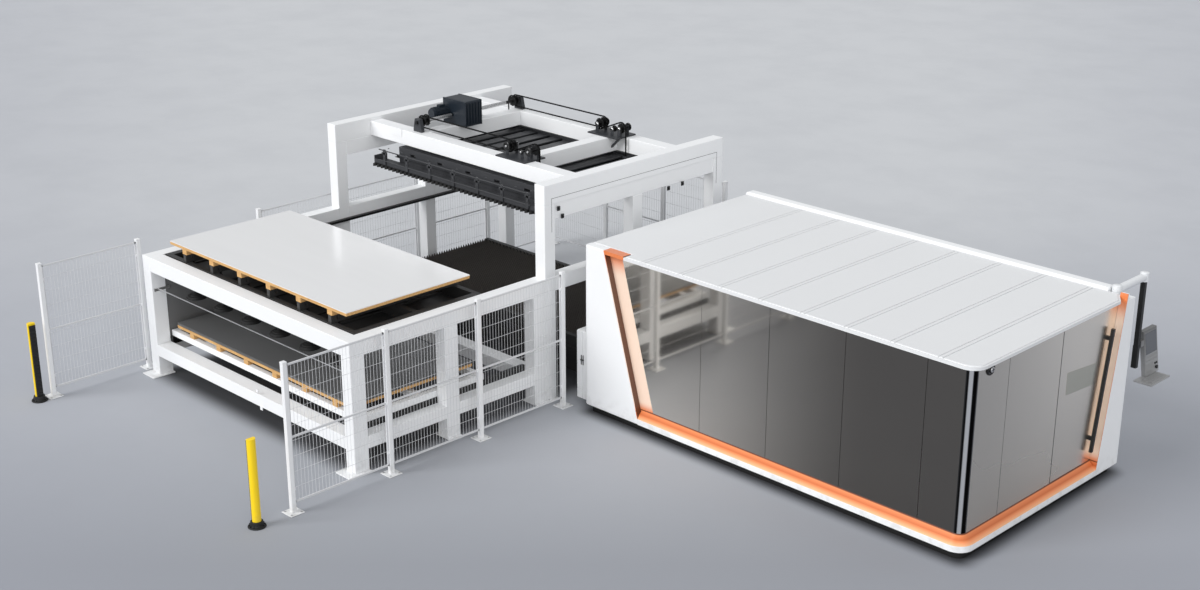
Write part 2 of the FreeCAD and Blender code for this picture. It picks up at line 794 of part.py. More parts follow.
BED_FRONT = f"({TABLE_FRONT} - table_play)"
BED_BACK = f"({TABLE_BACK} + table_play)"
BED_ENDS = (f"{LEFT} + bed_inset", f"{RIGHT} - bed_inset")
BED_RAIL_TOP = "(bed_height + rail_height)"
BRIDGE_X = f"({RIGHT} - bridge_setback)"
HEAD_Y = f"({BED_FRONT} + carriage_setback)"


def machine_bed():
    """The welded bed: two side beams, three cross members and the bridge's rails."""
    sides = [(f"{BED_FRONT} - bed_beam_width", BED_FRONT), (BED_BACK, f"{BED_BACK} + bed_beam_width")]
    pieces = [block(BED_ENDS, side, ("plinth_height", "bed_height")) for side in sides]
    for share in (0.02, 0.5, 0.96):
        start = f"({BED_ENDS[0]} + (machine_length - bed_inset * 2) * {share})"
        pieces.append(block((start, f"{start} + 120"), (BED_FRONT, BED_BACK),
                            ("plinth_height", "plinth_height + 140")))
    for side in sides:
        middle = f"(({side[0]}) + ({side[1]})) / 2"
        edges = (f"{middle} - rail_width / 2", f"{middle} + rail_width / 2")
        pieces.append(block(BED_ENDS, edges, ("bed_height", BED_RAIL_TOP)))
    node("machine_bed", *pieces)


def cutting_bridge():
    """The bridge with its shoes, the head carriage on its left face and the sliding laser head."""
    beam_foot = f"({BED_RAIL_TOP} + shoe_height)"
    beam_x = (f"{BRIDGE_X} - bridge_width / 2", f"{BRIDGE_X} + bridge_width / 2")
    ends = (f"{BED_FRONT} - bed_beam_width", f"{BED_BACK} + bed_beam_width")
    beam = block(beam_x, ends, (beam_foot, f"{beam_foot} + bridge_height"))
    shoe_x = (f"{BRIDGE_X} - bridge_width * 0.7", f"{BRIDGE_X} + bridge_width * 0.7")
    shoes = [
        block(shoe_x, side, (BED_RAIL_TOP, beam_foot))
        for side in ((ends[0], BED_FRONT), (BED_BACK, ends[1]))
    ]
    node("cutting_bridge", joined([beam] + shoes))

    plate_x = (f"{beam_x[0]} - carriage_plate", beam_x[0])
    plate_y = (f"{HEAD_Y} - carriage_width / 2", f"{HEAD_Y} + carriage_width / 2")
    plate = block(plate_x, plate_y, (f"{beam_foot} - 10", f"{beam_foot} + bridge_height + 60"))
    node("head_carriage", plate)

    slide_x = (f"{plate_x[0]} - carriage_plate", plate_x[0])
    slide_y = (f"{HEAD_Y} - carriage_width / 4", f"{HEAD_Y} + carriage_width / 4")
    slide = block(slide_x, slide_y, (f"{beam_foot} + 20", f"{beam_foot} + bridge_height + 160"))
    axis_x = f"({slide_x[0]} - head_radius + 4)"
    barrel = rod(axis_x, HEAD_Y, ("nozzle_height + 90", f"{beam_foot} + bridge_height + 120"),
                 "head_radius", sides=ROUND_SIDES)
    nozzle = rod(axis_x, HEAD_Y, ("nozzle_height", "nozzle_height + 90"), "head_radius / 2",
                 sides=BORE_SIDES)
    node("laser_head", joined([slide, barrel, nozzle]))


# ---------------------------------------------------------------- exchange table

def exchange_table():
    """The fixed rails and stand, and the sliding slatted table."""
    rails_x = (TABLE_LEFT, f"{RIGHT} - bed_inset * 2")
    tracks = [(BED_FRONT, f"{BED_FRONT} + 100"), (f"{BED_BACK} - 100", BED_BACK)]
    pieces = [block(rails_x, track, ("table_rail_top - 45", "table_rail_top")) for track in tracks]
    stand_right = f"({LEFT} - table_gap)"
    for track in tracks:
        pieces.append(block((TABLE_LEFT, stand_right), track, ("200", "table_rail_top - 45")))
        for share in (0, 0.32, 0.64, 0.96):
            start = f"({TABLE_LEFT} + table_length * {share})"
            pieces.append(block((start, f"{start} + 100"), track, ("0", "200")))
    node("table_rails", *pieces)

    beam = "table_beam"
    bar_foot = "(table_top - slat_height - slat_bar)"
    frame_z = ("table_rail_top", "table_top - 20")
    sides = [(TABLE_FRONT, f"{TABLE_FRONT} + {beam}"), (f"{TABLE_BACK} - {beam}", TABLE_BACK)]
    across = (sides[0][1], sides[1][0])
    frame = [block((TABLE_LEFT, TABLE_RIGHT), side, frame_z) for side in sides]
    for share in (0, 0.33, 0.67):
        start = f"({TABLE_LEFT} + table_length * {share})"
        frame.append(block((start, f"{start} + {beam}"), across, ("table_rail_top", bar_foot)))
    frame.append(block((f"{TABLE_RIGHT} - {beam}", TABLE_RIGHT), across, ("table_rail_top", bar_foot)))
    node("table_frame", *frame)

    count = int(number("(table_length - table_beam) / slat_pitch"))
    slats = []
    for slat in range(count):
        start = f"({TABLE_LEFT} + {beam} / 2 + slat_pitch * {slat})"
        slats.append(block((start, f"{start} + slat_thickness"), across,
                           ("table_top - slat_height", "table_top")))
    for share in (0.25, 0.75):
        middle = f"({across[0]} + (table_width - {beam} * 2) * {share})"
        x = (f"{TABLE_LEFT} + {beam}", f"{TABLE_RIGHT} - {beam}")
        bar = (f"{middle} - slat_bar / 2", f"{middle} + slat_bar / 2")
        slats.append(block(x, bar, (bar_foot, "table_top - slat_height")))
    node("table_slats", *slats)


# ---------------------------------------------------------------- gantry frame

SIDES = ((CELL_LEFT, INNER_LEFT), (INNER_RIGHT, CELL_RIGHT))
RECESSED = ((f"{CELL_LEFT} + beam_recess", INNER_LEFT), (INNER_RIGHT, f"{CELL_RIGHT} - beam_recess"))
POST_ROWS = (
    (GANTRY_FRONT, f"{GANTRY_FRONT} + post_depth"),
    (f"{GANTRY_CENTRE} - post_depth / 2", f"{GANTRY_CENTRE} + post_depth / 2"),
    (f"{GANTRY_BACK} - post_depth", GANTRY_BACK),
)


def foot(side, row):
    """A post's base plate."""
    return block((f"{side[0]} - foot_overhang", f"{side[1]} + foot_overhang"), row, ("0", "foot_plate"))


def gantry_frame():
    """Six posts on base plates, the two top beams with rails under them, and the deck-height beams."""
    beam_foot = "(gantry_height - top_beam_height)"
    rail_foot = f"({beam_foot} - inner_rail_height)"
    posts = []
    for side in SIDES:
        for row, top in zip(POST_ROWS, (beam_foot, rail_foot, beam_foot)):
            if row is POST_ROWS[1] and side is SIDES[1]:
                # The table passes here, so the middle post stands on the deck-height beam.
                posts.append(block(side, row, ("deck_height", top)))
            else:
                posts.append(foot(side, row))
                posts.append(block(side, row, ("foot_plate", top)))
    node("gantry_posts", *posts)
    front_bay, rear_bay = (POST_ROWS[0][1], POST_ROWS[1][0]), (POST_ROWS[1][1], POST_ROWS[2][0])
    deck_spans = [(RECESSED[0], front_bay), (RECESSED[0], rear_bay),
                  (RECESSED[1], (front_bay[0], rear_bay[1]))]
    beams = [block(side, (GANTRY_FRONT, GANTRY_BACK), (beam_foot, "gantry_height")) for side in SIDES]
    beams += [block(side, (POST_ROWS[0][1], POST_ROWS[2][0]), (rail_foot, beam_foot)) for side in RECESSED]
    beams += [block(side, span, ("deck_height - deck_beam", "deck_height")) for side, span in deck_spans]
    node("gantry_beams", *beams)


CROSS_CENTRES = (f"({GANTRY_CENTRE} - cross_beam_span / 2)", f"({GANTRY_CENTRE} + cross_beam_span / 2)")


def gantry_roof_beams():
    """The front and rear cross beams and the two tie beams between them."""
    height = (f"{CROSS_TOP} - cross_beam_height", CROSS_TOP)
    half = "cross_beam_width / 2"
    rows = [(f"{centre} - {half}", f"{centre} + {half}") for centre in CROSS_CENTRES]
    beams = [block((INNER_LEFT, INNER_RIGHT), row, height) for row in rows]
    for tie in ("tie_beam_left", "tie_beam_middle"):
        middle = f"({CELL_LEFT} + {tie})"
        x = (f"{middle} - tie_beam_width / 2", f"{middle} + tie_beam_width / 2")
        beams.append(block(x, (rows[0][1], rows[1][0]), height))
    node("gantry_roof_beams", *beams)


# ---------------------------------------------------------------- chain hoist

def sprocket(x, y, z):
    """A toothed wheel with straight-sided teeth; y is its near face."""
    root = "(sprocket_radius - tooth_depth)"
    corners = []
    for tooth in range(int(SIZES["sprocket_teeth"])):
        for turn, radius in ((-0.32, root), (-0.16, "sprocket_radius"), (0.16, "sprocket_radius"),
                             (0.32, root)):
            angle = f"({tooth + turn} * 360 deg / sprocket_teeth)"
            corners.append((f"{radius} * cos{angle}", f"{radius} * sin{angle}"))
    return place(pad(corners, y=("0", "sprocket_width")), x, y, z)


def chain_rows(inset):
    """The near faces of the front and rear chain rows, whose middles are inset from the cross beams."""
    half = "sprocket_width / 2"
    return (f"({CROSS_CENTRES[0]} + {inset} - {half})", f"({CROSS_CENTRES[1]} - {inset} - {half})")


LOOP_Y = chain_rows("loop_row")
FALL_Y = chain_rows("fall_row")
LOOP_X = f"({CELL_LEFT} + loop_axle)"
GUIDE_X = f"({CELL_LEFT} + guide_axle)"
FALL_X = f"({CELL_LEFT} + fall_axle)"
CHAIN_INNER = "(sprocket_radius + chain_play)"
CHAIN_OUTER = "(sprocket_radius + chain_play + chain_thickness)"
CROSS_SLOPE = f"asin(({CHAIN_INNER} + {CHAIN_OUTER}) / (fall_axle - loop_axle))"
STRAND_X = f"(({LOOP_X} + {FALL_X}) / 2)"
GUIDE_PLAY = "(roller_radius + chain_play + chain_thickness / 2)"
GUIDE_Z = f"({SHAFT_Z} + ({GUIDE_X} - {STRAND_X}) * tan({CROSS_SLOPE}) - {GUIDE_PLAY} / cos({CROSS_SLOPE}))"
STATIONS = {"loop": (LOOP_X, SHAFT_Z), "guide": (GUIDE_X, GUIDE_Z), "fall": (FALL_X, SHAFT_Z)}
PLATE_TOP = f"({CROSS_TOP} + station_plate)"
TIE_FACE = f"({CELL_LEFT} + tie_beam_middle + tie_beam_width / 2)"


def inward(side, start, end):
    """A pair of Y places between two insets from the front (0) or rear (1) cross beam's middle."""
    if side:
        return (f"({CROSS_CENTRES[1]} - ({end}))", f"({CROSS_CENTRES[1]} - ({start}))")
    return (f"({CROSS_CENTRES[0]} + {start})", f"({CROSS_CENTRES[0]} + {end})")


def drive_unit():
    """Gearbox on its tie beam, finned motor beside it, and the long shaft with its four sprockets."""
    box_x = (f"{SHAFT_X} - gearbox_lead", f"{SHAFT_X} - gearbox_lead + gearbox_width")
    box_y = (f"{GANTRY_CENTRE} - gearbox_back - gearbox_depth", f"{GANTRY_CENTRE} - gearbox_back")
    housing = pad(rectangle(box_x, (CROSS_TOP, f"{CROSS_TOP} + gearbox_height")), y=box_y)
    crown = lambda point: near(point.z, f"{CROSS_TOP} + gearbox_height")
    housing = rounded(housing, "gearbox_height * 0.08", crown)
    hole = bore(SHAFT_X, (f"{box_y[0]} - 5", f"{box_y[1]} + 5"), SHAFT_Z, "shaft_radius")
    node("hoist_gearbox", cut(housing, hole))

    motor_x = f"({box_x[0]} + motor_radius - 5)"
    motor_z = f"({SHAFT_Z} + 50)"
    front = f"({box_y[0]} - motor_length)"
    barrel = rod(motor_x, (f"{front} + 60", box_y[0]), motor_z, "motor_radius", sides=ROUND_SIDES)
    cowl = rod(motor_x, (front, f"{front} + 60"), motor_z, "motor_radius * 0.9", sides=ROUND_SIDES)
    fin_y = (f"{front} + 75", f"{box_y[0]} - 25")
    fins = []
    for offset, reach in ((-40, "motor_radius"), (0, "(motor_radius + 8)"), (40, "motor_radius")):
        level = (f"{motor_z} + {offset} - 3", f"{motor_z} + {offset} + 3")
        upright = (f"{motor_x} + {offset} - 3", f"{motor_x} + {offset} + 3")
        fins.append(block((f"{motor_x} - {reach}", f"{motor_x} + {reach}"), fin_y, level))
        fins.append(block(upright, fin_y, (f"{motor_z} - {reach}", f"{motor_z} + {reach}")))
    node("hoist_motor", joined([barrel, cowl] + fins))

    ends = (f"{CROSS_CENTRES[0]} - bearing_width", f"{CROSS_CENTRES[1]} + bearing_width")
    shaft = rod(SHAFT_X, ends, SHAFT_Z, "shaft_radius", sides=BORE_SIDES)
    wheels = [sprocket(SHAFT_X, y, SHAFT_Z) for y in LOOP_Y + FALL_Y]
    node("drive_shaft", joined([shaft] + wheels))


def bearing_block(centre):
    """A block that carries the drive shaft on a cross beam."""
    y = (f"{centre} - bearing_width / 2", f"{centre} + bearing_width / 2")
    case = pad(
        [
            (f"{SHAFT_X} - 90", CROSS_TOP),
            (f"{SHAFT_X} + 90", CROSS_TOP),
            (f"{SHAFT_X} + 90", f"{CROSS_TOP} + 40"),
            (f"{SHAFT_X} + 55", f"{SHAFT_Z} + 55"),
            (f"{SHAFT_X} - 55", f"{SHAFT_Z} + 55"),
            (f"{SHAFT_X} - 90", f"{CROSS_TOP} + 40"),
        ],
        y=y,
    )
    return cut(case, bore(SHAFT_X, (f"{y[0]} - 5", f"{y[1]} + 5"), SHAFT_Z, "shaft_radius"))


def upright(x, y, top):
    """A narrow bearing plate on the station's base, bored for its axle."""
    sides = (f"{x} - upright_width / 2", f"{x} + upright_width / 2")
    plate = block(sides, y, (PLATE_TOP, f"{top} + upright_width / 2"))
    return cut(plate, bore(x, (f"{y[0]} - 5", f"{y[1]} + 5"), top, "axle_radius"))


def chain_stations():
    """On each cross beam: a base plate with a brace, three pairs of bearing plates and their axles."""
    frames = [bearing_block(centre) for centre in CROSS_CENTRES]
    base_x = (f"{CELL_LEFT} + station_start", f"{CELL_LEFT} + station_start + station_length")
    brace_points = [
        (TIE_FACE, f"{CROSS_TOP} - brace_drop"),
        (f"{TIE_FACE} + brace_drop", CROSS_TOP),
        (f"{TIE_FACE} + brace_drop - 35", CROSS_TOP),
        (TIE_FACE, f"{CROSS_TOP} - brace_drop + 35"),
    ]
    for side, name in enumerate(("front", "rear")):
        base_y = inward(side, "-station_margin", "(station_width - station_margin)")
        frames.append(block(base_x, base_y, (CROSS_TOP, PLATE_TOP)))
        frames.append(pad(brace_points, y=inward(side, "inner_upright - 10",
                                                 "inner_upright - 10 + brace_width")))
        rows = [inward(side, inset, f"({inset} + upright_plate)") for inset in ("outer_upright",
                                                                                "inner_upright")]
        axle_y = inward(side, "(outer_upright - 20)", "(inner_upright + upright_plate + 20)")
        for kind, (x, z) in STATIONS.items():
            frames += [upright(x, row, z) for row in rows]
            axle = rod(x, axle_y, z, "axle_radius", sides=BORE_SIDES)
            if kind == "guide":
                y = FALL_Y[side]
                wheels = [rod(x, (y, f"{y} + sprocket_width"), z, "roller_radius", sides=ROUND_SIDES)]
            else:
                rows_used = (LOOP_Y, FALL_Y) if kind == "loop" else (FALL_Y,)
                wheels = [sprocket(x, row[side], z) for row in rows_used]
            label = "guide_rollers" if kind == "guide" else f"{kind}_sprockets"
            node(f"{name}_{label}", joined([axle] + wheels))
    node("hoist_supports", *frames)


def chain_loop(y):
    """A closed chain round the drive sprocket and the station's sprocket."""
    outer_y = (f"{y} + 2", f"{y} + sprocket_width - 2")
    inner_y = (f"{y} - 5", f"{y} + sprocket_width + 5")
    shells = []
    for width, radius in ((outer_y, CHAIN_OUTER), (inner_y, CHAIN_INNER)):
        strip = block((SHAFT_X, LOOP_X), width, (f"{SHAFT_Z} - {radius}", f"{SHAFT_Z} + {radius}"))
        ends = [rod(x, width, SHAFT_Z, radius) for x in (SHAFT_X, LOOP_X)]
        shells.append(joined([strip] + ends))
    return cut(*shells)


def chain_arc(x, y, first, last):
    """The stretch of a chain on a sprocket, between two angles from +X towards +Z."""
    shells = []
    for play, radius in (("2", CHAIN_OUTER), ("-5", CHAIN_INNER)):
        piece = bind(doc.addObject("Part::Cylinder", "arc"), Radius=radius, Angle=f"{last} - ({first})")
        turn = FreeCAD.Rotation(FreeCAD.Vector(0, 1, 0), -number(first))
        piece.Placement = FreeCAD.Placement(FreeCAD.Vector(),
                                            turn * FreeCAD.Rotation(FreeCAD.Vector(1, 0, 0), 90))
        bind(piece, Height=f"sprocket_width - 2 * ({play})")
        shells.append(place(piece, x, f"{y} + sprocket_width - ({play})", SHAFT_Z))
    return cut(*shells)


def cross_strand(y):
    """The straight chain from the top of the fall sprocket to the foot of the loop sprocket."""
    length = f"((fall_axle - loop_axle) * cos({CROSS_SLOPE}))"
    piece = doc.addObject("Part::Box", "strand")
    bind(piece, Length=length, Width="sprocket_width - 4", Height="chain_thickness")
    piece.Placement = FreeCAD.Placement(FreeCAD.Vector(), FreeCAD.Rotation(FreeCAD.Vector(0, -1, 0), 20))
    bind(piece, Placement__Rotation__Angle=CROSS_SLOPE)
    across, up = f"{length} / 2", "chain_thickness / 2"
    x = f"{STRAND_X} - {across} * cos({CROSS_SLOPE}) + {up} * sin({CROSS_SLOPE})"
    z = f"{SHAFT_Z} - {across} * sin({CROSS_SLOPE}) - {up} * cos({CROSS_SLOPE})"
    return place(piece, x, f"{y} + 2", z)


FALLS = (
    (f"({SHAFT_X} - {CHAIN_OUTER})", f"({SHAFT_X} - {CHAIN_INNER})"),
    (f"({FALL_X} + {CHAIN_INNER})", f"({FALL_X} + {CHAIN_OUTER})"),
)
LIFT_TOP = "(lift_foot + lift_height)"


def hoist_chains():
    """The two drive loops, the crossing strands of the fall rows, and the four falls."""
    chains = [chain_loop(y) for y in LOOP_Y]
    for y in FALL_Y:
        on_fall = chain_arc(FALL_X, y, "0", f"(90 + {CROSS_SLOPE} / 1 deg)")
        on_loop = chain_arc(LOOP_X, y, "180", f"(270 + {CROSS_SLOPE} / 1 deg)")
        chains.append(joined([on_fall, cross_strand(y), on_loop]))
        chains.append(chain_arc(SHAFT_X, y, "60", "180"))
    node("loop_chains", *chains)
    falls = [
        block(x, (f"{y} + 2", f"{y} + sprocket_width - 2"), (LIFT_TOP, SHAFT_Z))
        for x in FALLS for y in FALL_Y
    ]
    node("fall_chains", *falls)


# ---------------------------------------------------------------- lift frame and combs

LIFT_ENDS = (f"({CELL_CENTRE} - lift_length / 2)", f"({CELL_CENTRE} + lift_length / 2)")
LIFT_FRONT = f"({GANTRY_CENTRE} - lift_span / 2)"
LIFT_BACK = f"({GANTRY_CENTRE} + lift_span / 2)"
BODY_ENDS = (f"({LIFT_ENDS[0]} + lift_lead)", LIFT_ENDS[1])
BODY_LENGTH = "(lift_length - lift_lead)"


def lift_frame():
    """Two box beams with slots, cross members, a slatted deck, comb shelves, and the chain lugs."""
    rows = (
        (f"{LIFT_FRONT} + comb_shelf", f"{LIFT_FRONT} + comb_shelf + lift_beam"),
        (f"{LIFT_BACK} - comb_shelf - lift_beam", f"{LIFT_BACK} - comb_shelf"),
    )
    pieces = []
    for row in rows:
        beam = block(BODY_ENDS, row, ("lift_foot", LIFT_TOP))
        slots = []
        for slot in range(5):
            start = f"({BODY_ENDS[0]} + {BODY_LENGTH} * {0.08 + 0.19 * slot})"
            slots.append(block((start, f"{start} + 120"), (f"{row[0]} - 5", f"{row[1]} + 5"),
                               (f"{LIFT_TOP} - 110", f"{LIFT_TOP} - 70")))
        pieces.append(cut(beam, joined(slots)))
    between = (rows[0][1], rows[1][0])
    for share in (0, 0.24, 0.48, 0.72, 0.96):
        start = f"({BODY_ENDS[0]} + {BODY_LENGTH} * {share})"
        pieces.append(block((start, f"{start} + 90"), between, ("lift_foot + 60", f"{LIFT_TOP} - 40")))
    for slat in range(12):
        start = f"({BODY_ENDS[0]} + {BODY_LENGTH} / 12 * {slat} + 50)"
        pieces.append(block((start, f"{start} + 170"), between, (f"{LIFT_TOP} - 40", f"{LIFT_TOP} - 20")))
    for shelf, lip in (
        ((LIFT_FRONT + " + tooth_length", rows[0][0]), (LIFT_FRONT + " + tooth_length",
                                                        LIFT_FRONT + " + tooth_length + 10")),
        ((rows[1][1], LIFT_BACK + " - tooth_length"), (LIFT_BACK + " - tooth_length - 10",
                                                       LIFT_BACK + " - tooth_length")),
    ):
        floor = block(LIFT_ENDS, shelf, ("lift_foot", "lift_foot + 12"))
        edge = block(LIFT_ENDS, lip, ("lift_foot", "lift_foot + 60"))
        ends = [
            block(x, shelf, ("lift_foot", "lift_foot + 110"))
            for x in ((LIFT_ENDS[0], f"{LIFT_ENDS[0]} + 12"), (f"{LIFT_ENDS[1]} - 12", LIFT_ENDS[1]))
        ]
        pieces.append(joined([floor, edge] + ends))
    for x in FALLS:
        for y, row in zip(FALL_Y, rows):
            reach = (row[1], f"{y} + sprocket_width + 20") if row is rows[0] else (f"{y} - 20", row[0])
            pieces.append(block((f"{x[0]} - 30", f"{x[1]} + 30"), reach, (f"{LIFT_TOP} - 20", LIFT_TOP)))
    node("lift_frame", *pieces)


def comb(front):
    """A comb blade: a flat bar with pointed teeth patterned along its edge."""
    count = int(number("lift_length / tooth_pitch"))
    lean = 1 if front else -1
    edge = LIFT_FRONT if front else LIFT_BACK
    root = f"({edge} + {lean} * tooth_length)"
    inner = f"({root} + {lean} * comb_bar)"
    height = ("lift_foot - comb_height", "lift_foot")
    body = pad(rectangle(LIFT_ENDS, (root, inner) if front else (inner, root)), z=height)
    start = f"({LIFT_ENDS[0]} + (tooth_pitch - tooth_width) / 2)"
    points = [
        (start, root),
        (f"{start} + tooth_width", root),
        (f"{start} + tooth_width", f"{root} - {lean} * tooth_length * 0.55"),
        (f"{start} + tooth_width / 2", edge),
        (start, f"{root} - {lean} * tooth_length * 0.55"),
    ]
    pad(points, z=height, body=body)
    tooth = body.Tip
    row = body.newObject("PartDesign::LinearPattern", "teeth")
    row.Originals = [tooth]
    row.Direction = (tooth.Profile[0], ["H_Axis"])
    row.Occurrences = count
    bind(row, Length=f"tooth_pitch * {count - 1}")
    body.Tip = row
    return body


# ---------------------------------------------------------------- rack

RACK_ROWS = (
    (RACK_FRONT, f"{RACK_FRONT} + rack_post_depth"),
    (f"{RACK_FRONT} + rack_middle", f"{RACK_FRONT} + rack_middle + rack_post_depth"),
    (f"{GANTRY_FRONT} - rack_post_depth", GANTRY_FRONT),
)
TROLLEY_FRONT = f"({RACK_ROWS[0][1]} + trolley_gap)"
TROLLEY_BACK = f"({TROLLEY_FRONT} + trolley_depth)"
DECK = ("deck_height - deck_beam", "deck_height")
HIGH_RAIL = "(deck_height - high_rail_drop)"


def rack_frame():
    """Six posts on base plates, and the beams and trolley rails between them."""
    posts = []
    for side in SIDES:
        for row in RACK_ROWS:
            front = f"{row[0]} - foot_front" if row is RACK_ROWS[0] else row[0]
            posts.append(foot(side, (front, row[1])))
            posts.append(block(side, row, ("foot_plate", DECK[0])))
    node("rack_posts", *posts)

    low = ("low_beam_foot", "low_beam_top")
    beams = [block(side, (RACK_FRONT, GANTRY_FRONT), DECK) for side in SIDES]
    beams.append(block((INNER_LEFT, INNER_RIGHT), RACK_ROWS[0], DECK))
    beams += [block((INNER_LEFT, INNER_RIGHT), row, low) for row in (RACK_ROWS[0], RACK_ROWS[2])]
    bays = ((RACK_ROWS[0][1], RACK_ROWS[1][0]), (RACK_ROWS[1][1], RACK_ROWS[2][0]))
    beams += [block(side, bay, low) for side in SIDES for bay in bays]
    node("rack_beams", *beams)

    tracks = ((INNER_LEFT, f"{INNER_LEFT} + trolley_rail_width"),
              (f"{INNER_RIGHT} - trolley_rail_width", INNER_RIGHT))
    rails = []
    for track in tracks:
        rails.append(block(track, (RACK_ROWS[0][1], POST_ROWS[2][0]),
                           (f"{HIGH_RAIL} - trolley_rail_height", HIGH_RAIL)))
        rails.append(block(track, (RACK_ROWS[0][1], RACK_ROWS[2][0]), ("low_beam_top - 30", "low_rail_top")))
    node("trolley_rails", *rails)


def stop_rod():
    """The light rod across the rack's front, on two flat brackets."""
    y = f"({RACK_FRONT} + rack_post_depth / 2)"
    brackets = [
        block(x, (f"{y} - 80", f"{RACK_ROWS[0][1]} + 60"), ("stop_rod_height - 20", "stop_rod_height + 20"))
        for x in ((INNER_LEFT, f"{INNER_LEFT} + stop_bracket"),
                  (f"{INNER_RIGHT} - stop_bracket", INNER_RIGHT))
    ]
    bar = rod((f"{INNER_LEFT} + stop_bracket", f"{INNER_RIGHT} - stop_bracket"), y, "stop_rod_height",
              "stop_rod_radius")
    node("stop_rod", bar, *brackets)


TROLLEY_X = (f"{INNER_LEFT} + trolley_play", f"{INNER_RIGHT} - trolley_play")
ARM_FOOT = "deck_height"
ARM_TOP = "(deck_height + arm_height)"


def trolley(foot_z, height):
    """A trolley frame: two side members and three cross members."""
    sides = ((TROLLEY_X[0], f"{TROLLEY_X[0]} + trolley_side"),
             (f"{TROLLEY_X[1]} - trolley_side", TROLLEY_X[1]))
    between = (sides[0][1], sides[1][0])
    z = (foot_z, f"{foot_z} + {height}")
    pieces = [block(side, (TROLLEY_FRONT, TROLLEY_BACK), z) for side in sides]
    for start in (TROLLEY_FRONT, f"({TROLLEY_FRONT} + trolley_depth / 2 - 40)", f"({TROLLEY_BACK} - 80)"):
        pieces.append(block(between, (start, f"{start} + 80"), z))
    return pieces


def arm_places():
    """Centres of the six arms that carry a pallet."""
    return [f"({CELL_CENTRE} + arm_pitch * {order - 2.5})" for order in range(6)]


SHEET_X = (f"({CELL_CENTRE} - sheet_length / 2)", f"({CELL_CENTRE} + sheet_length / 2)")
SHEET_Y = (f"({RACK_FRONT} + sheet_lead)", f"({RACK_FRONT} + sheet_lead + sheet_width)")


def pallet(foot_z):
    """Wooden bearers over the arms and a board on them."""
    bearer_top = f"({foot_z} + bearer_height)"
    pieces = [
        block((f"{centre} - arm_width / 2", f"{centre} + arm_width / 2"), SHEET_Y, (foot_z, bearer_top))
        for centre in arm_places()
    ]
    pieces.append(block(SHEET_X, SHEET_Y, (bearer_top, f"{bearer_top} + board_height")))
    return pieces


def upper_level():
    """The upper trolley with its six arms and hanging cups, its pallet and its sheet."""
    pieces = trolley(HIGH_RAIL, "high_rail_drop")
    for centre in arm_places():
        x = (f"{centre} - arm_width / 2", f"{centre} + arm_width / 2")
        arm = block(x, (f"{SHEET_Y[0]}", TROLLEY_BACK), (ARM_FOOT, ARM_TOP))
        slot = block((f"{x[0]} - 5", f"{x[1]} + 5"), (f"{SHEET_Y[0]} + 90", f"{SHEET_Y[0]} + 115"),
                     (f"{ARM_FOOT} + 35", f"{ARM_TOP} - 20"))
        pieces.append(cut(arm, slot))
    node("upper_trolley", *pieces)
    cups = []
    y = f"({TROLLEY_FRONT} + cup_setback)"
    for x in arm_places():
        bowl = rod(x, y, ("cup_foot", "cup_foot + cup_height"), "cup_radius", sides=ROUND_SIDES)
        stem = rod(x, y, ("cup_foot + cup_height", ARM_FOOT), "cup_stem", sides=8)
        cups.append(joined([bowl, stem]))
    node("trolley_cups", *cups)
    node("upper_pallet", *pallet(ARM_TOP))
    top = f"({ARM_TOP} + bearer_height + board_height)"
    node("upper_sheet", block(SHEET_X, SHEET_Y, (top, f"{top} + sheet_height")))


def lower_level():
    """The lower trolley, its pallet and its stack of sheets."""
    node("lower_trolley", *trolley("low_rail_top", "90"))
    foot_z = "(low_rail_top + 90)"
    node("lower_pallet", *pallet(foot_z))
    top = f"({foot_z} + bearer_height + board_height)"
    node("lower_sheet", block(SHEET_X, SHEET_Y, (top, f"{top} + stack_height")))


# ---------------------------------------------------------------- guard fence and light posts

FENCE_LEFT = f"({CELL_LEFT} - fence_gap)"
FENCE_RIGHT = f"({CELL_RIGHT} + fence_aisle)"
FENCE_BACK = f"({GANTRY_BACK} + fence_rear)"
LEFT_RUN = [f"({FENCE_BACK} - fence_pitch * {bay})" for bay in range(5)]
LEFT_RUN.append(f"({LEFT_RUN[-1]} - fence_long_bay)")
LOADING_BAY = (LEFT_RUN[4], LEFT_RUN[5])
LEFT_RUN.append(f"({LEFT_RUN[-1]} - fence_pitch)")
REAR_RUN = [f"({FENCE_LEFT} + rear_pitch * {bay})" for bay in range(4)]
RIGHT_RUN = [f"({FRONT} - right_fence_lead - right_pitch * {bay})" for bay in range(4)]
FENCE_POSTS = (
    [(FENCE_LEFT, y) for y in LEFT_RUN]
    + [(x, FENCE_BACK) for x in REAR_RUN[1:]]
    + [(FENCE_RIGHT, y) for y in RIGHT_RUN]
)


def fence_panel(x, y, length, turned):
    """A welded panel: a plate pocketed to rails and upright wires, in two storeys."""
    body = pad(rectangle(("0", length), ("panel_foot", "panel_top")),
               y=("-panel_thickness / 2", "panel_thickness / 2"))
    gap = f"((({length}) - panel_wire) / panel_columns - panel_wire)"
    storeys = (("panel_foot + panel_rail", "panel_middle"), ("panel_middle + panel_rail",
                                                             "panel_top - panel_rail"))
    pocket = None
    for storey in storeys:
        sketch = draw(body, "XZ_Plane", rectangle(("panel_wire", f"panel_wire + {gap}"), storey),
                      "-panel_thickness / 2")
        pocket = body.newObject("PartDesign::Pocket", "gap")
        pocket.Profile = sketch
        pocket.Reversed = True
        bind(pocket, Length="panel_thickness")
        row = body.newObject("PartDesign::LinearPattern", "gaps")
        row.Originals = [pocket]
        row.Direction = (sketch, ["H_Axis"])
        bind(row, Occurrences="panel_columns", Length=f"({gap} + panel_wire) * (panel_columns - 1)")
        body.Tip = row
    if turned:
        body.Placement = FreeCAD.Placement(FreeCAD.Vector(), FreeCAD.Rotation(FreeCAD.Vector(0, 0, 1), 90))
    return place(body, x, y)


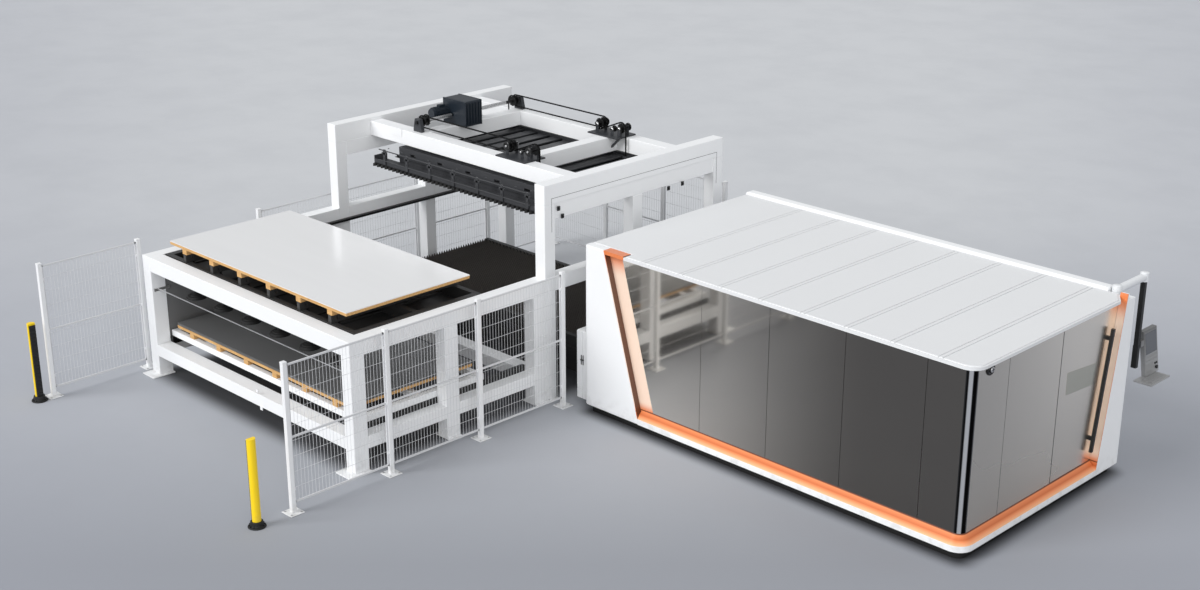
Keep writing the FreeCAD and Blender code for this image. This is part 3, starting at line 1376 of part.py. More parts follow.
def guard_fence():
    """Posts on base plates and the panels between them; the long bay on the left is left open."""
    posts = []
    half, plate = "fence_post / 2", "fence_foot / 2"
    for x, y in FENCE_POSTS:
        posts.append(block((f"{x} - {plate}", f"{x} + {plate}"), (f"{y} - {plate}", f"{y} + {plate}"),
                           ("0", "10")))
        posts.append(block((f"{x} - {half}", f"{x} + {half}"), (f"{y} - {half}", f"{y} + {half}"),
                           ("10", "fence_height")))
    node("fence_posts", *posts)
    panels = []
    for x, run in ((FENCE_LEFT, LEFT_RUN), (FENCE_RIGHT, RIGHT_RUN)):
        for far, near_end in zip(run, run[1:]):
            if (far, near_end) != LOADING_BAY:
                panels.append(fence_panel(x, f"{near_end} + {half}",
                                          f"{far} - ({near_end}) - fence_post", True))
    for start, end in zip(REAR_RUN, REAR_RUN[1:]):
        panels.append(fence_panel(f"{start} + {half}", FENCE_BACK, f"{end} - ({start}) - fence_post", False))
    node("fence_panels", *panels)


def light_posts():
    """Two light-curtain posts: a half-round case, a flat lens bar and a flared foot each."""
    y = f"({LEFT_RUN[-1]} - light_lead)"
    cases, feet = [], []
    for x, lens in ((FENCE_LEFT, 1), (f"({FENCE_RIGHT} - light_setback)", -1)):
        height = ("light_foot_height", "light_post_height")
        case = rod(x, y, height, "light_post_radius")
        face = f"({x} + {lens} * light_post_radius * 0.35)"
        beyond = f"({x} + {lens} * light_post_radius * 2)"
        side = (face, beyond) if lens > 0 else (beyond, face)
        width = (f"{y} - light_post_radius * 2", f"{y} + light_post_radius * 2")
        cases.append(cut(case, block(side, width, ("0", "light_post_height + 10"))))
        bar = (face, f"{face} + 22") if lens > 0 else (f"{face} - 22", face)
        lens_y = (f"{y} - light_post_radius * 0.8", f"{y} + light_post_radius * 0.8")
        feet.append(block(bar, lens_y, ("light_foot_height", "light_post_height - 25")))
        disc = rod(x, y, ("0", "light_foot_step"), "light_foot_radius", sides=ROUND_SIDES)
        collar_z = ("light_foot_step", "light_foot_height")
        collar = rod(x, y, collar_z, "light_foot_radius * 0.7", sides=ROUND_SIDES)
        feet.append(joined([disc, collar]))
    node("light_posts", *cases)
    node("light_post_feet", *feet)


# ---------------------------------------------------------------- build and write

machine_plinth()
lower_lip()
reveal_frame()
left_cover()
end_walls()
roof()
front_glass()
corner_trim()
side_glass()
door()
end_button()
side_cabinet()
console()
machine_bed()
cutting_bridge()
exchange_table()
gantry_frame()
gantry_roof_beams()
drive_unit()
chain_stations()
hoist_chains()
lift_frame()
node("lift_combs", comb(True), comb(False))
rack_frame()
stop_rod()
upper_level()
lower_level()
guard_fence()
light_posts()
doc.recompute()

for item in doc.Objects:
    if "Invalid" in item.State or "Error" in item.State:
        raise RuntimeError(f"{item.Label} failed: {item.State}")
for item in nodes:
    if item.Shape.isNull() or not item.Shape.isValid():
        raise RuntimeError(f"{item.Label} has no valid shape")

os.makedirs("parts", exist_ok=True)
for item in nodes:
    item.Shape.exportStep(f"parts/{item.Label}.step")
print(f"{len(nodes)} sub-parts written")
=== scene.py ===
import json
from collections import namedtuple
from math import atan2, cos, pi, radians, sin

import bmesh
import bpy
from mathutils import Matrix, Vector


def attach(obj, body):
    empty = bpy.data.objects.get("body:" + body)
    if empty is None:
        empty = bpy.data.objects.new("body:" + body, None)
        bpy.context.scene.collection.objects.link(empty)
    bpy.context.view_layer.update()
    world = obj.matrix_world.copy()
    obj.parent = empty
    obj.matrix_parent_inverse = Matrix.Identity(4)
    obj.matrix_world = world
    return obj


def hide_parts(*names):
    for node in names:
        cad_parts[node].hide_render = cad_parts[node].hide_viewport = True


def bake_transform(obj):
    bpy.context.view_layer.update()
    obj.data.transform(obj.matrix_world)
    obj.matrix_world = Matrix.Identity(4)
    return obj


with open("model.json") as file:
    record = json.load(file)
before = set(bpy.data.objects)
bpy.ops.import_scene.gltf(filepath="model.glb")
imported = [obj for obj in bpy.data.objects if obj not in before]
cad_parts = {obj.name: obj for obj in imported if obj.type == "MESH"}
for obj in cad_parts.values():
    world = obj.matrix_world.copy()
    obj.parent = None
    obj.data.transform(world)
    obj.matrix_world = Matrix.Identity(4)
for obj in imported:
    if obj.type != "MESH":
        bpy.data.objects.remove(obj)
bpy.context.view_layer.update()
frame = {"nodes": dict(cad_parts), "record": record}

NODES = frame["nodes"]
SLOT_OF = {part["node"]: part["material_slot"] for part in frame["record"]["subparts"]}
BODY_OF = {node: body for body, nodes in frame["record"]["behaviour"]["bodies"].items() for node in nodes}

Box = namedtuple("Box", "left front foot right back top")


def box_of(node):
    """A node's box in metres, to a tenth of a millimetre."""
    sides = list(zip(*(vert.co for vert in NODES[node].data.vertices)))
    return Box(*(round(min(side), 4) for side in sides), *(round(max(side), 4) for side in sides))


def placed(name, data):
    """A new object in the scene, for a mesh, a lamp or a camera."""
    item = bpy.data.objects.new(name, data)
    bpy.context.scene.collection.objects.link(item)
    return item


# -------------------- camera and colours

CAMERA_PLACE = (12.092, -16.492, 9.393)
CAMERA_TILT = 69.917
CAMERA_TURN = 45.019
CAMERA_LENS = 51.236
SENSOR_WIDTH = 36
VIEW_LIMIT = 500


def camera():
    """The camera at the photograph's place, looking down the line from the machine's front right."""
    lens = bpy.data.cameras.new("camera")
    lens.sensor_width = SENSOR_WIDTH
    lens.lens = CAMERA_LENS
    lens.clip_end = VIEW_LIMIT
    eye = placed("camera", lens)
    eye.location = CAMERA_PLACE
    eye.rotation_euler = (radians(CAMERA_TILT), 0, radians(CAMERA_TURN))
    bpy.context.scene.camera = eye


def grey(level):
    """The linear value of a grey that shows as this level of 255."""
    share = level / 255
    return ((share + 0.055) / 1.055) ** 2.4 if share > 0.04045 else share / 12.92


def shade(red, green=None, blue=None):
    """A linear colour from levels of 255."""
    if green is None:
        green = blue = red
    return (grey(red), grey(green), grey(blue), 1.0)


def toned(colour, factor):
    """A colour made lighter or darker."""
    return (colour[0] * factor, colour[1] * factor, colour[2] * factor, 1.0)


# -------------------- shader expressions

def operator(kind):
    """A method that joins a signal with another, or with a number."""
    def method(signal, other):
        return signal.maths(kind, other)
    return method


class Signal:
    """A shader output that takes part in Python arithmetic."""

    def __init__(self, finish, socket):
        self.finish = finish
        self.socket = socket

    def maths(self, operation, *others):
        return self.finish.add("ShaderNodeMath", {"operation": operation}, self, *others)

    def __rsub__(self, other):
        return self.finish.add("ShaderNodeMath", {"operation": "SUBTRACT"}, other, self)

    __add__ = __radd__ = operator("ADD")
    __sub__ = operator("SUBTRACT")
    __mul__ = operator("MULTIPLY")
    __truediv__ = operator("DIVIDE")
    __gt__ = operator("GREATER_THAN")
    __lt__ = operator("LESS_THAN")
    most = operator("MAXIMUM")

    def size(self):
        return self.maths("ABSOLUTE")

    def between(self, low, high):
        """0 below low, 1 above high, smooth between."""
        settings = {"interpolation_type": "SMOOTHSTEP"}
        return self.finish.add("ShaderNodeMapRange", settings, self, low, high, 0.0, 1.0)


FINISHES = {}


class Finish:
    """A material: one Principled shader and the nodes that feed it."""

    def __init__(self, name, colour, roughness, metallic=0.0, **fixed):
        self.material = bpy.data.materials.new(name)
        self.material.use_nodes = True
        self.tree = self.material.node_tree
        self.shader = self.tree.nodes["Principled BSDF"]
        self.place = None
        self.coat(colour, roughness)
        self.feed("Metallic", metallic)
        for socket, value in fixed.items():
            self.feed(socket.replace("_", " "), value)
        FINISHES[name] = self

    def add(self, kind, settings, *values, output=0, **named):
        """One node: its type, its settings, then the values or links of its sockets."""
        item = self.tree.nodes.new(kind)
        for setting, value in settings.items():
            setattr(item, setting, value)
        for socket, value in [*enumerate(values), *named.items()]:
            self.join(item.inputs[socket], value)
        return Signal(self, item.outputs[output])

    def join(self, target, value):
        """Link a signal to a socket, or set the socket."""
        if isinstance(value, Signal):
            self.tree.links.new(value.socket, target)
        elif value is not None:
            target.default_value = value

    def feed(self, name, value):
        """Set or link one of the shader's own sockets."""
        self.join(self.shader.inputs[name], value)

    def coat(self, colour, roughness):
        """Set the surface's colour and roughness."""
        self.feed("Base Color", colour)
        self.feed("Roughness", roughness)

    def coordinates(self):
        """The point in the frame, in metres."""
        if self.place is None:
            self.place = self.add("ShaderNodeTexCoord", {}, output="Object")
        return self.place

    def split(self, vector):
        """A vector's three parts."""
        outputs = self.add("ShaderNodeSeparateXYZ", {}, vector).socket.node.outputs
        return [Signal(self, output) for output in outputs]

    def axes(self):
        """The point's three coordinates."""
        return self.split(self.coordinates())

    def facing(self):
        """The direction of the surface on its piece, in three parts."""
        return self.split(self.add("ShaderNodeTexCoord", {}, output="Normal"))

    def stretched(self, x, y, z):
        """Coordinates scaled apart along the axes."""
        return self.add("ShaderNodeVectorMath", {"operation": "MULTIPLY"}, self.coordinates(), (x, y, z))

    def cloud(self, scale, detail=3.0, place=None, roughness=0.5):
        """Noise with features about 1 / scale metres across."""
        vector = place or self.coordinates()
        return self.add("ShaderNodeTexNoise", {}, vector, None, scale, detail, roughness)

    def lines(self, stretch, detail=3.0, roughness=0.5):
        """Noise drawn out into lines or bands by the scales of the three axes."""
        return self.cloud(1.0, detail, self.stretched(*stretch), roughness)

    def blend(self, share, first, second):
        """Two colours mixed by a share; the colour sockets follow five of numbers and vectors."""
        unused = (None,) * 5
        return self.add("ShaderNodeMix", {"data_type": "RGBA"}, share, *unused, first, second, output=2)

    def ramp(self, share, stops):
        """Colours along a share, from pairs of place and colour."""
        bands = self.add("ShaderNodeValToRGB", {}, share)
        elements = bands.socket.node.color_ramp.elements
        while len(elements) < len(stops):
            elements.new(0.5)
        for element, (position, colour) in zip(elements, stops):
            element.position = position
            element.color = colour
        return bands

    def relief(self, height, strength, depth):
        """Bump from a height signal; depth is in metres."""
        bump = self.add("ShaderNodeBump", {}, Height=height, Strength=strength, Distance=depth)
        self.feed("Normal", bump)


# -------------------- finishes

FLOOR_DUST = shade(128, 122, 112)
DUST_HEIGHTS = (0.02, 0.4)


def powder_coat(name, colour, roughness, dust):
    """Baked paint: faint orange peel, cloudy tone, and floor dust low down."""
    finish = Finish(name, colour, roughness, Coat_Weight=0.15, Coat_Roughness=0.25)
    _, _, height = finish.axes()
    low = 1.0 - height.between(*DUST_HEIGHTS)
    stain = finish.cloud(9.0, detail=5.0).between(0.42, 0.72) * low * dust * 2.0
    clean = finish.blend(finish.cloud(0.8, detail=4.0), toned(colour, 0.965), colour)
    wear = (finish.cloud(30.0, detail=2.0) - 0.5) * 0.12
    finish.coat(finish.blend(stain, clean, FLOOR_DUST), roughness + wear + stain * 0.2)
    finish.relief(finish.cloud(420.0, detail=2.0), strength=0.18, depth=0.0006)


def bare_metal(name, colour, roughness, grain=(2.0, 90.0, 90.0), metallic=1.0, spread=0.14):
    """Rolled or ground metal with fine lines along one axis and cloudy roughness."""
    finish = Finish(name, colour, roughness, metallic)
    lines = finish.lines(grain, detail=4.0)
    tone = finish.blend(lines, toned(colour, 1 - spread), toned(colour, 1 + spread * 0.4))
    finish.coat(tone, roughness + (lines - 0.5) * 0.16 + (finish.cloud(1.3) - 0.5) * 0.12)
    finish.relief(lines, strength=0.12, depth=0.0008)


def plastic(name, colour, roughness):
    """Moulded plastic or rubber with a fine pebbled skin."""
    finish = Finish(name, colour, roughness)
    cloud = finish.cloud(5.0)
    tone = finish.blend(cloud, toned(colour, 0.8), toned(colour, 1.25))
    finish.coat(tone, roughness + (cloud - 0.5) * 0.15)
    finish.relief(finish.cloud(600.0, detail=2.0), strength=0.2, depth=0.0004)


def sheet_skin(name, colour, roughness, metallic=0.3):
    """Cold-rolled sheet: nearly smooth, with faint cloudy bands from the rolls."""
    finish = Finish(name, colour, roughness, metallic)
    bands = finish.lines((0.5, 5.0, 0.5))
    stains = finish.cloud(2.4, detail=4.0)
    tone = finish.blend(bands, toned(colour, 0.965), colour)
    finish.coat(tone, roughness + (bands - 0.5) * 0.06 + (stains - 0.5) * 0.08)


def dark_pane():
    """Dark mirror glass with painted reflection: paler toward the loading side, and near silver on the
    machine's end, paler toward its back.
    """
    finish = Finish("dark_glass", shade(100), 0.06, 1.0)
    along, across, _ = finish.axes()
    on_end = finish.facing()[0] > 0.5
    haze = finish.cloud(0.5, detail=2.0)
    # Painted reflection: the front's tone falls from the loading side toward the end, and the end's tone
    # rises toward the back.
    front = finish.blend(along.between(-2.9, 1.6), shade(250, 244, 234), shade(120, 116, 111))
    end = finish.blend(across.between(-1.6, 0.9), shade(216, 211, 202), shade(254, 247, 236))
    tone = finish.blend(haze * 0.08, finish.blend(on_end, front, end), shade(120))
    finish.coat(tone, 0.045 + haze * 0.03 + on_end * (0.19 + haze * 0.03))


def corner_metal():
    """The mirror-polished corner, with painted reflection: bands of dark and light that run up its round,
    set by the way each face turns.
    """
    finish = Finish("corner_silver", shade(130), 0.22, 1.0)
    toward_end, toward_front, _ = finish.facing()
    turn = toward_end.maths("ARCTAN2", 0.0 - toward_front) / radians(90)
    # Painted reflection: the light and dark bands a round mirror shows, laid on by facing.
    bands = ((0.0, shade(80)), (0.12, shade(22)), (0.21, shade(40)), (0.27, shade(236)),
             (0.50, shade(240)), (0.56, shade(50)), (0.62, shade(16)), (0.86, shade(16)),
             (0.94, shade(120)), (1.0, shade(176)))
    finish.coat(finish.ramp(turn, bands), 0.18 + finish.lines((200.0, 200.0, 1.5)) * 0.1)


SILL_FOOT = box_of("reveal_frame").foot
SILL_RISE = 0.109
# Painted light up the reveal's foot ledge: a pale painted highlight near the lip, dark painted shade where
# it meets the glass.
SILL_PAINTED_BANDS = ((0.0, shade(250, 188, 142)), (0.3, shade(244, 152, 96)), (0.5, shade(214, 110, 54)),
              (0.86, shade(238, 140, 84)), (0.93, shade(110, 54, 24)), (1.0, shade(90, 44, 20)))


def reveal_paint():
    """The reveal's lacquer: deep orange, with a pale painted highlight on the broad faces of each arm,
    painted shade on their edges, and bands of painted highlight and shade up the ledge at its foot.
    """
    colour = shade(236, 132, 74)
    finish = Finish("reveal_orange", colour, 0.32, 0.1, Coat_Weight=0.5, Coat_Roughness=0.14)
    along, _, height = finish.axes()
    toward_end, toward_front, _ = finish.facing()
    flake = finish.cloud(900.0, detail=2.0)
    lacquer = finish.blend(finish.cloud(1.2), toned(colour, 0.92), toned(colour, 1.06))
    # Painted highlight on the broad front faces of each arm, between the ledge and the roof.
    rising = height.between(0.28, 0.42) * (1.0 - height.between(2.02, 2.33))
    broad = (toward_front < -0.88) * rising
    arms_painted_highlight = finish.blend(broad, lacquer, shade(254, 226, 204))
    # Painted highlight and shade on the ledge, by height.
    sill_painted_light = finish.ramp((height - SILL_FOOT) / SILL_RISE, SILL_PAINTED_BANDS)
    whole = finish.blend(height < SILL_FOOT + SILL_RISE + 0.001, arms_painted_highlight, sill_painted_light)
    # Painted shade: dark brown on the left arm's narrow faces that face the machine's end.
    edge = (toward_end > 0.9) * (along < 0.0)
    finish.coat(finish.blend(edge, whole, shade(92, 50, 26)), 0.26 + flake * 0.12)
    finish.relief(flake, strength=0.05, depth=0.0003)


def pallet_wood():
    """Raw pine: long grain, finer fibres, and darker knots."""
    light = shade(226, 184, 124)
    finish = Finish("pallet_wood", light, 0.7)
    grain = finish.lines((3.0, 46.0, 60.0), detail=5.0, roughness=0.6)
    fibre = finish.lines((14.0, 400.0, 400.0), roughness=0.7)
    knots = finish.cloud(3.1, detail=2.0).between(0.66, 0.74)
    board = finish.blend(grain.between(0.3, 0.7), light, shade(198, 152, 94))
    board = finish.blend(fibre * 0.35, board, shade(170, 124, 70))
    finish.coat(finish.blend(knots * 0.6, board, shade(120, 72, 30)), 0.62 + fibre * 0.2)
    finish.relief(fibre + grain, strength=0.35, depth=0.0012)


HOLDER_BACK = 2.347


def console_skin():
    """The console's grey: a black post and holder, and a paler brushed head and tray."""
    finish = Finish("console_grey", shade(140), 0.4, 0.2)
    _, across, height = finish.axes()
    brushed = finish.lines((40.0, 3.0, 160.0))
    panel = finish.blend(height.between(0.95, 1.65), shade(176), shade(124))
    panel = finish.blend(brushed * 0.25, panel, shade(110))
    finish.coat(finish.blend(across < HOLDER_BACK, panel, shade(20)), 0.34 + brushed * 0.14)
    finish.relief(brushed, strength=0.08, depth=0.0006)


POWDER_COATS = (
    ("shell_white", (243, 244, 245), 0.42, 0.12), ("roof_white", (226, 227, 228), 0.5, 0.12),
    ("plinth_black", (12,), 0.6, 0.0), ("cabinet_white", (238, 239, 240), 0.42, 0.12),
    ("console_white", (226, 228, 230), 0.42, 0.12), ("bed_grey", (120, 122, 124), 0.55, 0.12),
    ("table_black", (20,), 0.6, 0.05), ("frame_white", (242, 243, 244), 0.45, 0.1),
    ("drive_slate", (20, 30, 40), 0.42, 0.0), ("support_dark", (44, 46, 50), 0.45, 0.1),
    ("lift_dark", (52, 53, 56), 0.5, 0.1), ("trolley_dark", (50,), 0.5, 0.12),
    ("fence_white", (238, 239, 240), 0.45, 0.12), ("post_yellow", (254, 216, 12), 0.38, 0.08),
    ("grating_black", (20,), 0.7, 0.0), ("wire_grey", (212, 213, 215), 0.5, 0.0),
    ("guard_grey", (112,), 0.5, 0.0),
)
PLASTICS = (("handle_black", 18, 0.3), ("button_black", 16, 0.25), ("head_black", 44, 0.4),
            ("cup_black", 7, 0.75), ("foot_black", 20, 0.6), ("pane_edge", 34, 0.3),
            ("knob_black", 34, 0.35))


def make_finishes():
    """One finish for each of the record's slots, and a few for pieces that only this model has."""
    for name, levels, roughness, dust in POWDER_COATS:
        powder_coat(name, shade(*levels), roughness, dust)
    bare_metal("button_silver", shade(215), 0.28, (60.0, 60.0, 60.0))
    bare_metal("slat_steel", shade(92, 88, 84), 0.6, (60.0, 3.0, 60.0), metallic=0.3, spread=0.3)
    bare_metal("wheel_steel", shade(70), 0.35, (40.0, 2.0, 40.0))
    bare_metal("chain_dark", shade(46), 0.45, (120.0, 120.0, 120.0))
    bare_metal("comb_steel", shade(58), 0.45, (60.0, 3.0, 60.0), metallic=0.6)
    bare_metal("rail_dark", shade(64), 0.4, (90.0, 2.0, 90.0))
    bare_metal("rod_steel", shade(214), 0.3)
    bare_metal("window_glass", shade(214, 212, 198), 0.22, (0.5, 0.5, 0.5), spread=0.06)
    bare_metal("screen_glass", shade(104, 106, 110), 0.16, (0.5, 0.5, 0.5), metallic=0.3, spread=0.06)
    for name, level, roughness in PLASTICS:
        plastic(name, shade(level), roughness)
    sheet_skin("sheet_bright", shade(248), 0.17)
    # sheet_dark is the same rolled steel as sheet_bright, made darker as painted shade under the upper
    # level.
    sheet_skin("sheet_dark", shade(122), 0.3)
    dark_pane()
    corner_metal()
    reveal_paint()
    pallet_wood()
    console_skin()


# -------------------- mesh helpers

AXIS_TURNS = {
    "x": Matrix.Rotation(radians(90), 4, "Y"),
    "-x": Matrix.Rotation(radians(-90), 4, "Y"),
    "y": Matrix.Rotation(radians(-90), 4, "X"),
    "-y": Matrix.Rotation(radians(90), 4, "X"),
    "z": Matrix.Identity(4),
}


def verts_in(made):
    """The corners among what an operator made."""
    return [item for item in made["geom"] if isinstance(item, bmesh.types.BMVert)]


def direction(axis):
    """The unit vector of a named axis."""
    return AXIS_TURNS[axis].to_3x3() @ Vector((0, 0, 1))


def block(mesh, low, high):
    """Add a block between two corners to a bmesh."""
    low, high = Vector(low), Vector(high)
    made = bmesh.ops.create_cube(mesh, size=1.0)
    bmesh.ops.scale(mesh, verts=made["verts"], vec=high - low)
    bmesh.ops.translate(mesh, verts=made["verts"], vec=(low + high) / 2)
    return made["verts"]


def row(mesh, count, step, low, high):
    """Add equal blocks in a row: the step between them, and the first one's corners."""
    for order in range(count):
        out = Vector(step) * order
        block(mesh, Vector(low) + out, Vector(high) + out)


def rod(mesh, matrix, radius, length, sides):
    """Add a round rod, centred on the place that a matrix gives."""
    made = bmesh.ops.create_cone(mesh, cap_ends=True, segments=sides, radius1=radius, radius2=radius,
                                 depth=length)
    bmesh.ops.transform(mesh, matrix=matrix, verts=made["verts"])


def bar(mesh, start, length, radius, axis, sides=8):
    """Add a round bar that begins at a point and runs along an axis."""
    middle = Vector(start) + direction(axis) * length / 2
    rod(mesh, Matrix.Translation(middle) @ AXIS_TURNS[axis], radius, length, sides)


def bolt(mesh, place, axis, size):
    """A hexagon head on its washer."""
    bar(mesh, place, size * 0.25, size * 1.6, axis, 12)
    bar(mesh, Vector(place) + direction(axis) * size * 0.2, size * 0.8, size, axis, 6)


def turned(mesh, profile, place, axis="z", sides=24):
    """Turn a profile of (radius, height) pairs about an axis through a place."""
    part = bmesh.new()
    verts = [part.verts.new((radius, 0, height)) for radius, height in profile]
    edges = [part.edges.new(pair) for pair in zip(verts, verts[1:])]
    bmesh.ops.spin(part, geom=verts + edges, cent=(0, 0, 0), axis=(0, 0, 1), angle=radians(360),
                   steps=sides, use_merge=True, use_duplicate=False)
    bmesh.ops.remove_doubles(part, verts=part.verts, dist=1e-5)
    bmesh.ops.recalc_face_normals(part, faces=part.faces)
    bmesh.ops.transform(part, matrix=Matrix.Translation(place) @ AXIS_TURNS[axis], verts=part.verts)
    data = bpy.data.meshes.new("part")
    part.to_mesh(data)
    part.free()
    mesh.from_mesh(data)
    bpy.data.meshes.remove(data)


def plate(mesh, corners, face, thickness):
    """A flat plate that faces the machine's end, from (y, z) corners."""
    outline = mesh.faces.new([mesh.verts.new((face, *corner)) for corner in corners])
    made = bmesh.ops.extrude_face_region(mesh, geom=[outline], use_keep_orig=True)
    bmesh.ops.translate(mesh, verts=verts_in(made), vec=(thickness, 0, 0))


def shaped(name, mesh, finish, smooth=False):
    """An object from a bmesh, in one finish."""
    bmesh.ops.recalc_face_normals(mesh, faces=mesh.faces)
    data = bpy.data.meshes.new(name)
    mesh.to_mesh(data)
    mesh.free()
    kept_normals = data.attributes.get("custom_normal")
    if kept_normals:
        data.attributes.remove(kept_normals)
    data.materials.append(FINISHES[finish].material)
    for polygon in data.polygons:
        polygon.use_smooth = smooth
        polygon.material_index = 0
    return placed(name, data)


def piece(name, mesh, finish, body="cell", replaces=None, smooth=False, crease=0, bevel=0.0):
    """A named piece that rides on a body; crease is the angle in degrees past which edges stay sharp."""
    item = shaped(name, mesh, finish, smooth)
    if crease:
        item.data.set_sharp_from_angle(angle=radians(crease))
    if bevel:
        rounding = item.modifiers.new("rounding", "BEVEL")
        rounding.width = bevel
        rounding.segments = 2
        rounding.limit_method = "ANGLE"
    if body:
        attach(item, body)
    if replaces:
        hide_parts(replaces)
    return item


def solids_of(mesh):
    """The faces of each closed solid of a freshly copied node, in their order."""
    found, faces, open_sides = [], [], set()
    for face in mesh.faces:
        faces.append(face)
        places = [tuple(round(value, 5) for value in vert.co) for vert in face.verts]
        for start, end in zip(places, places[1:] + places[:1]):
            if (end, start) in open_sides:
                open_sides.remove((end, start))
            else:
                open_sides.add((start, end))
        if not open_sides:
            found.append(faces)
            faces = []
    return found


FLAT_ANGLE = 0.01
SHARP_ANGLE = 0.6


def eased(node, width):
    """A node's solids with their sharp edges eased, in the node's place."""
    mesh = bmesh.new()
    mesh.from_mesh(NODES[node].data)
    for faces in solids_of(mesh):
        verts = list({vert for face in faces for vert in face.verts})
        bmesh.ops.remove_doubles(mesh, verts=verts, dist=1e-5)
    bmesh.ops.dissolve_limit(mesh, angle_limit=FLAT_ANGLE, use_dissolve_boundaries=False,
                             verts=mesh.verts, edges=mesh.edges)
    sharp = [edge for edge in mesh.edges
             if len(edge.link_faces) == 2 and edge.calc_face_angle() > SHARP_ANGLE]
    bmesh.ops.bevel(mesh, geom=sharp, offset=width, offset_type="OFFSET", affect="EDGES", segments=2,
                    profile=0.5, material=-1, clamp_overlap=True)
    piece(f"{node}_eased", mesh, SLOT_OF[node], BODY_OF[node], replaces=node)


# -------------------- laser machine

def round_corner():
    """The polished quarter round between the front glass and the machine's end."""
    corner = box_of("corner_trim")
    mesh = bmesh.new()
    verts = [mesh.verts.new((corner.right, corner.back, height)) for height in (corner.foot, corner.top)]
    edge = mesh.edges.new(verts)
    bmesh.ops.spin(mesh, geom=verts + [edge], cent=(corner.left, corner.back, 0), axis=(0, 0, 1),
                   angle=radians(-90), steps=24, use_merge=False, use_duplicate=False)
    bmesh.ops.recalc_face_normals(mesh, faces=mesh.faces)
    bmesh.ops.solidify(mesh, geom=mesh.faces, thickness=0.006)
    piece("corner_round", mesh, "corner_silver", replaces="corner_trim", smooth=True, crease=40)


WINDOW_OPENING = ((0.417, 1.677), (1.103, 1.61), (1.068, 1.335), (0.427, 1.381))
PANE_SHARE = 0.985


def door_window():
    """The door's slanting vision pane, and the fine seams at the door's two edges."""
    door = box_of("door_leaf")
    middle = Vector([sum(values) / len(WINDOW_OPENING) for values in zip(*WINDOW_OPENING)])
    corners = [middle + (Vector(corner) - middle) * PANE_SHARE for corner in WINDOW_OPENING]
    mesh = bmesh.new()
    plate(mesh, corners, door.right, 0.0016)
    piece("window_pane", mesh, "window_glass", "door")
    mesh = bmesh.new()
    for y in (door.front - 0.003, door.back + 0.0026):
        block(mesh, (door.right - 0.005, y - 0.004, door.foot), (door.right + 0.0015, y + 0.004, door.top))
    piece("door_seams", mesh, "pane_edge", "cell")


def press_button():
    """The round end button: a dished black bezel, and a cap that bears a plain cross."""
    ring = box_of("button_ring")
    x, y, z = place = (ring.left, (ring.front + ring.back) / 2, (ring.foot + ring.top) / 2)
    mesh = bmesh.new()
    turned(mesh, [(0.036, 0), (0.075, 0), (0.075, 0.008), (0.071, 0.015), (0.064, 0.0195),
                  (0.052, 0.0195), (0.044, 0.014), (0.036, 0.011), (0.036, 0)], place, "x", 40)
    piece("button_bezel", mesh, "button_black", replaces="button_ring", smooth=True)
    mesh = bmesh.new()
    turned(mesh, [(0, 0.009), (0.033, 0.009), (0.034, 0.03), (0.031, 0.036), (0.022, 0.038), (0, 0.038)],
           place, "x", 32)
    piece("button_dome", mesh, "button_silver", "button", replaces="button_cap", smooth=True)
    mesh = bmesh.new()
    arm_length, arm_width = 0.022, 0.005
    for wide, tall in ((arm_length, arm_width), (arm_width, arm_length)):
        block(mesh, (x + 0.037, y - wide, z - tall), (x + 0.039, y + wide, z + tall))
    piece("button_cross", mesh, "button_black", "button", bevel=0.001)


SCREEN_FACE = 2.825
SCREEN_FOOT = 0.956
SCREEN_EDGE = 2.576
SCREEN_LEAN = 0.3
FASCIA_DEPTH = 0.004
KEY_DEPTH = 0.004


def leaning(mesh, start, end, foot, top, depth, out=0.0):
    """A plate on the leaning screen, between two distances from its edge and two heights."""
    corners = [(SCREEN_EDGE - (height - SCREEN_FOOT) * SCREEN_LEAN + distance, height)
               for distance, height in ((start, foot), (end, foot), (end, top), (start, top))]
    plate(mesh, corners, SCREEN_FACE + out, depth)


def console_screen():
    """The console's fascia, display, key field and knobs."""
    mesh = bmesh.new()
    for foot, top in ((1.245, 1.61), (0.97, 1.225)):
        leaning(mesh, 0.012, 0.323, foot, top, FASCIA_DEPTH)
    piece("console_fascia", mesh, "console_grey", "screen")
    mesh = bmesh.new()
    leaning(mesh, 0.03, 0.305, 1.275, 1.585, 0.002, FASCIA_DEPTH)
    piece("console_display", mesh, "screen_glass", "screen")
    mesh = bmesh.new()
    first, pitch, wide, tall = 0.03, 0.03, 0.022, 0.021
    for line in range(5):
        for column in range(6):
            start, foot = first + column * pitch, 0.995 + line * pitch
            leaning(mesh, start, start + wide, foot, foot + tall, KEY_DEPTH, FASCIA_DEPTH)
    for order in range(10):
        start = first + order * 0.0275
        leaning(mesh, start, start + wide, 1.165, 1.187, KEY_DEPTH, FASCIA_DEPTH)
    piece("console_keys", mesh, "console_grey", "screen")
    mesh = bmesh.new()
    dial = [(0, 0), (0.018, 0), (0.017, 0.012), (0.024, 0.014), (0.026, 0.02), (0.02, 0.026), (0, 0.027)]
    push = [(0, 0), (0.013, 0), (0.012, 0.014), (0, 0.015)]
    turned(mesh, dial, (SCREEN_FACE + FASCIA_DEPTH, 2.808, 1.04), "x", 24)
    for y in (2.768, 2.808):
        turned(mesh, push, (SCREEN_FACE + FASCIA_DEPTH, y, 1.1), "x", 20)
    piece("console_knobs", mesh, "knob_black", "screen", smooth=True)


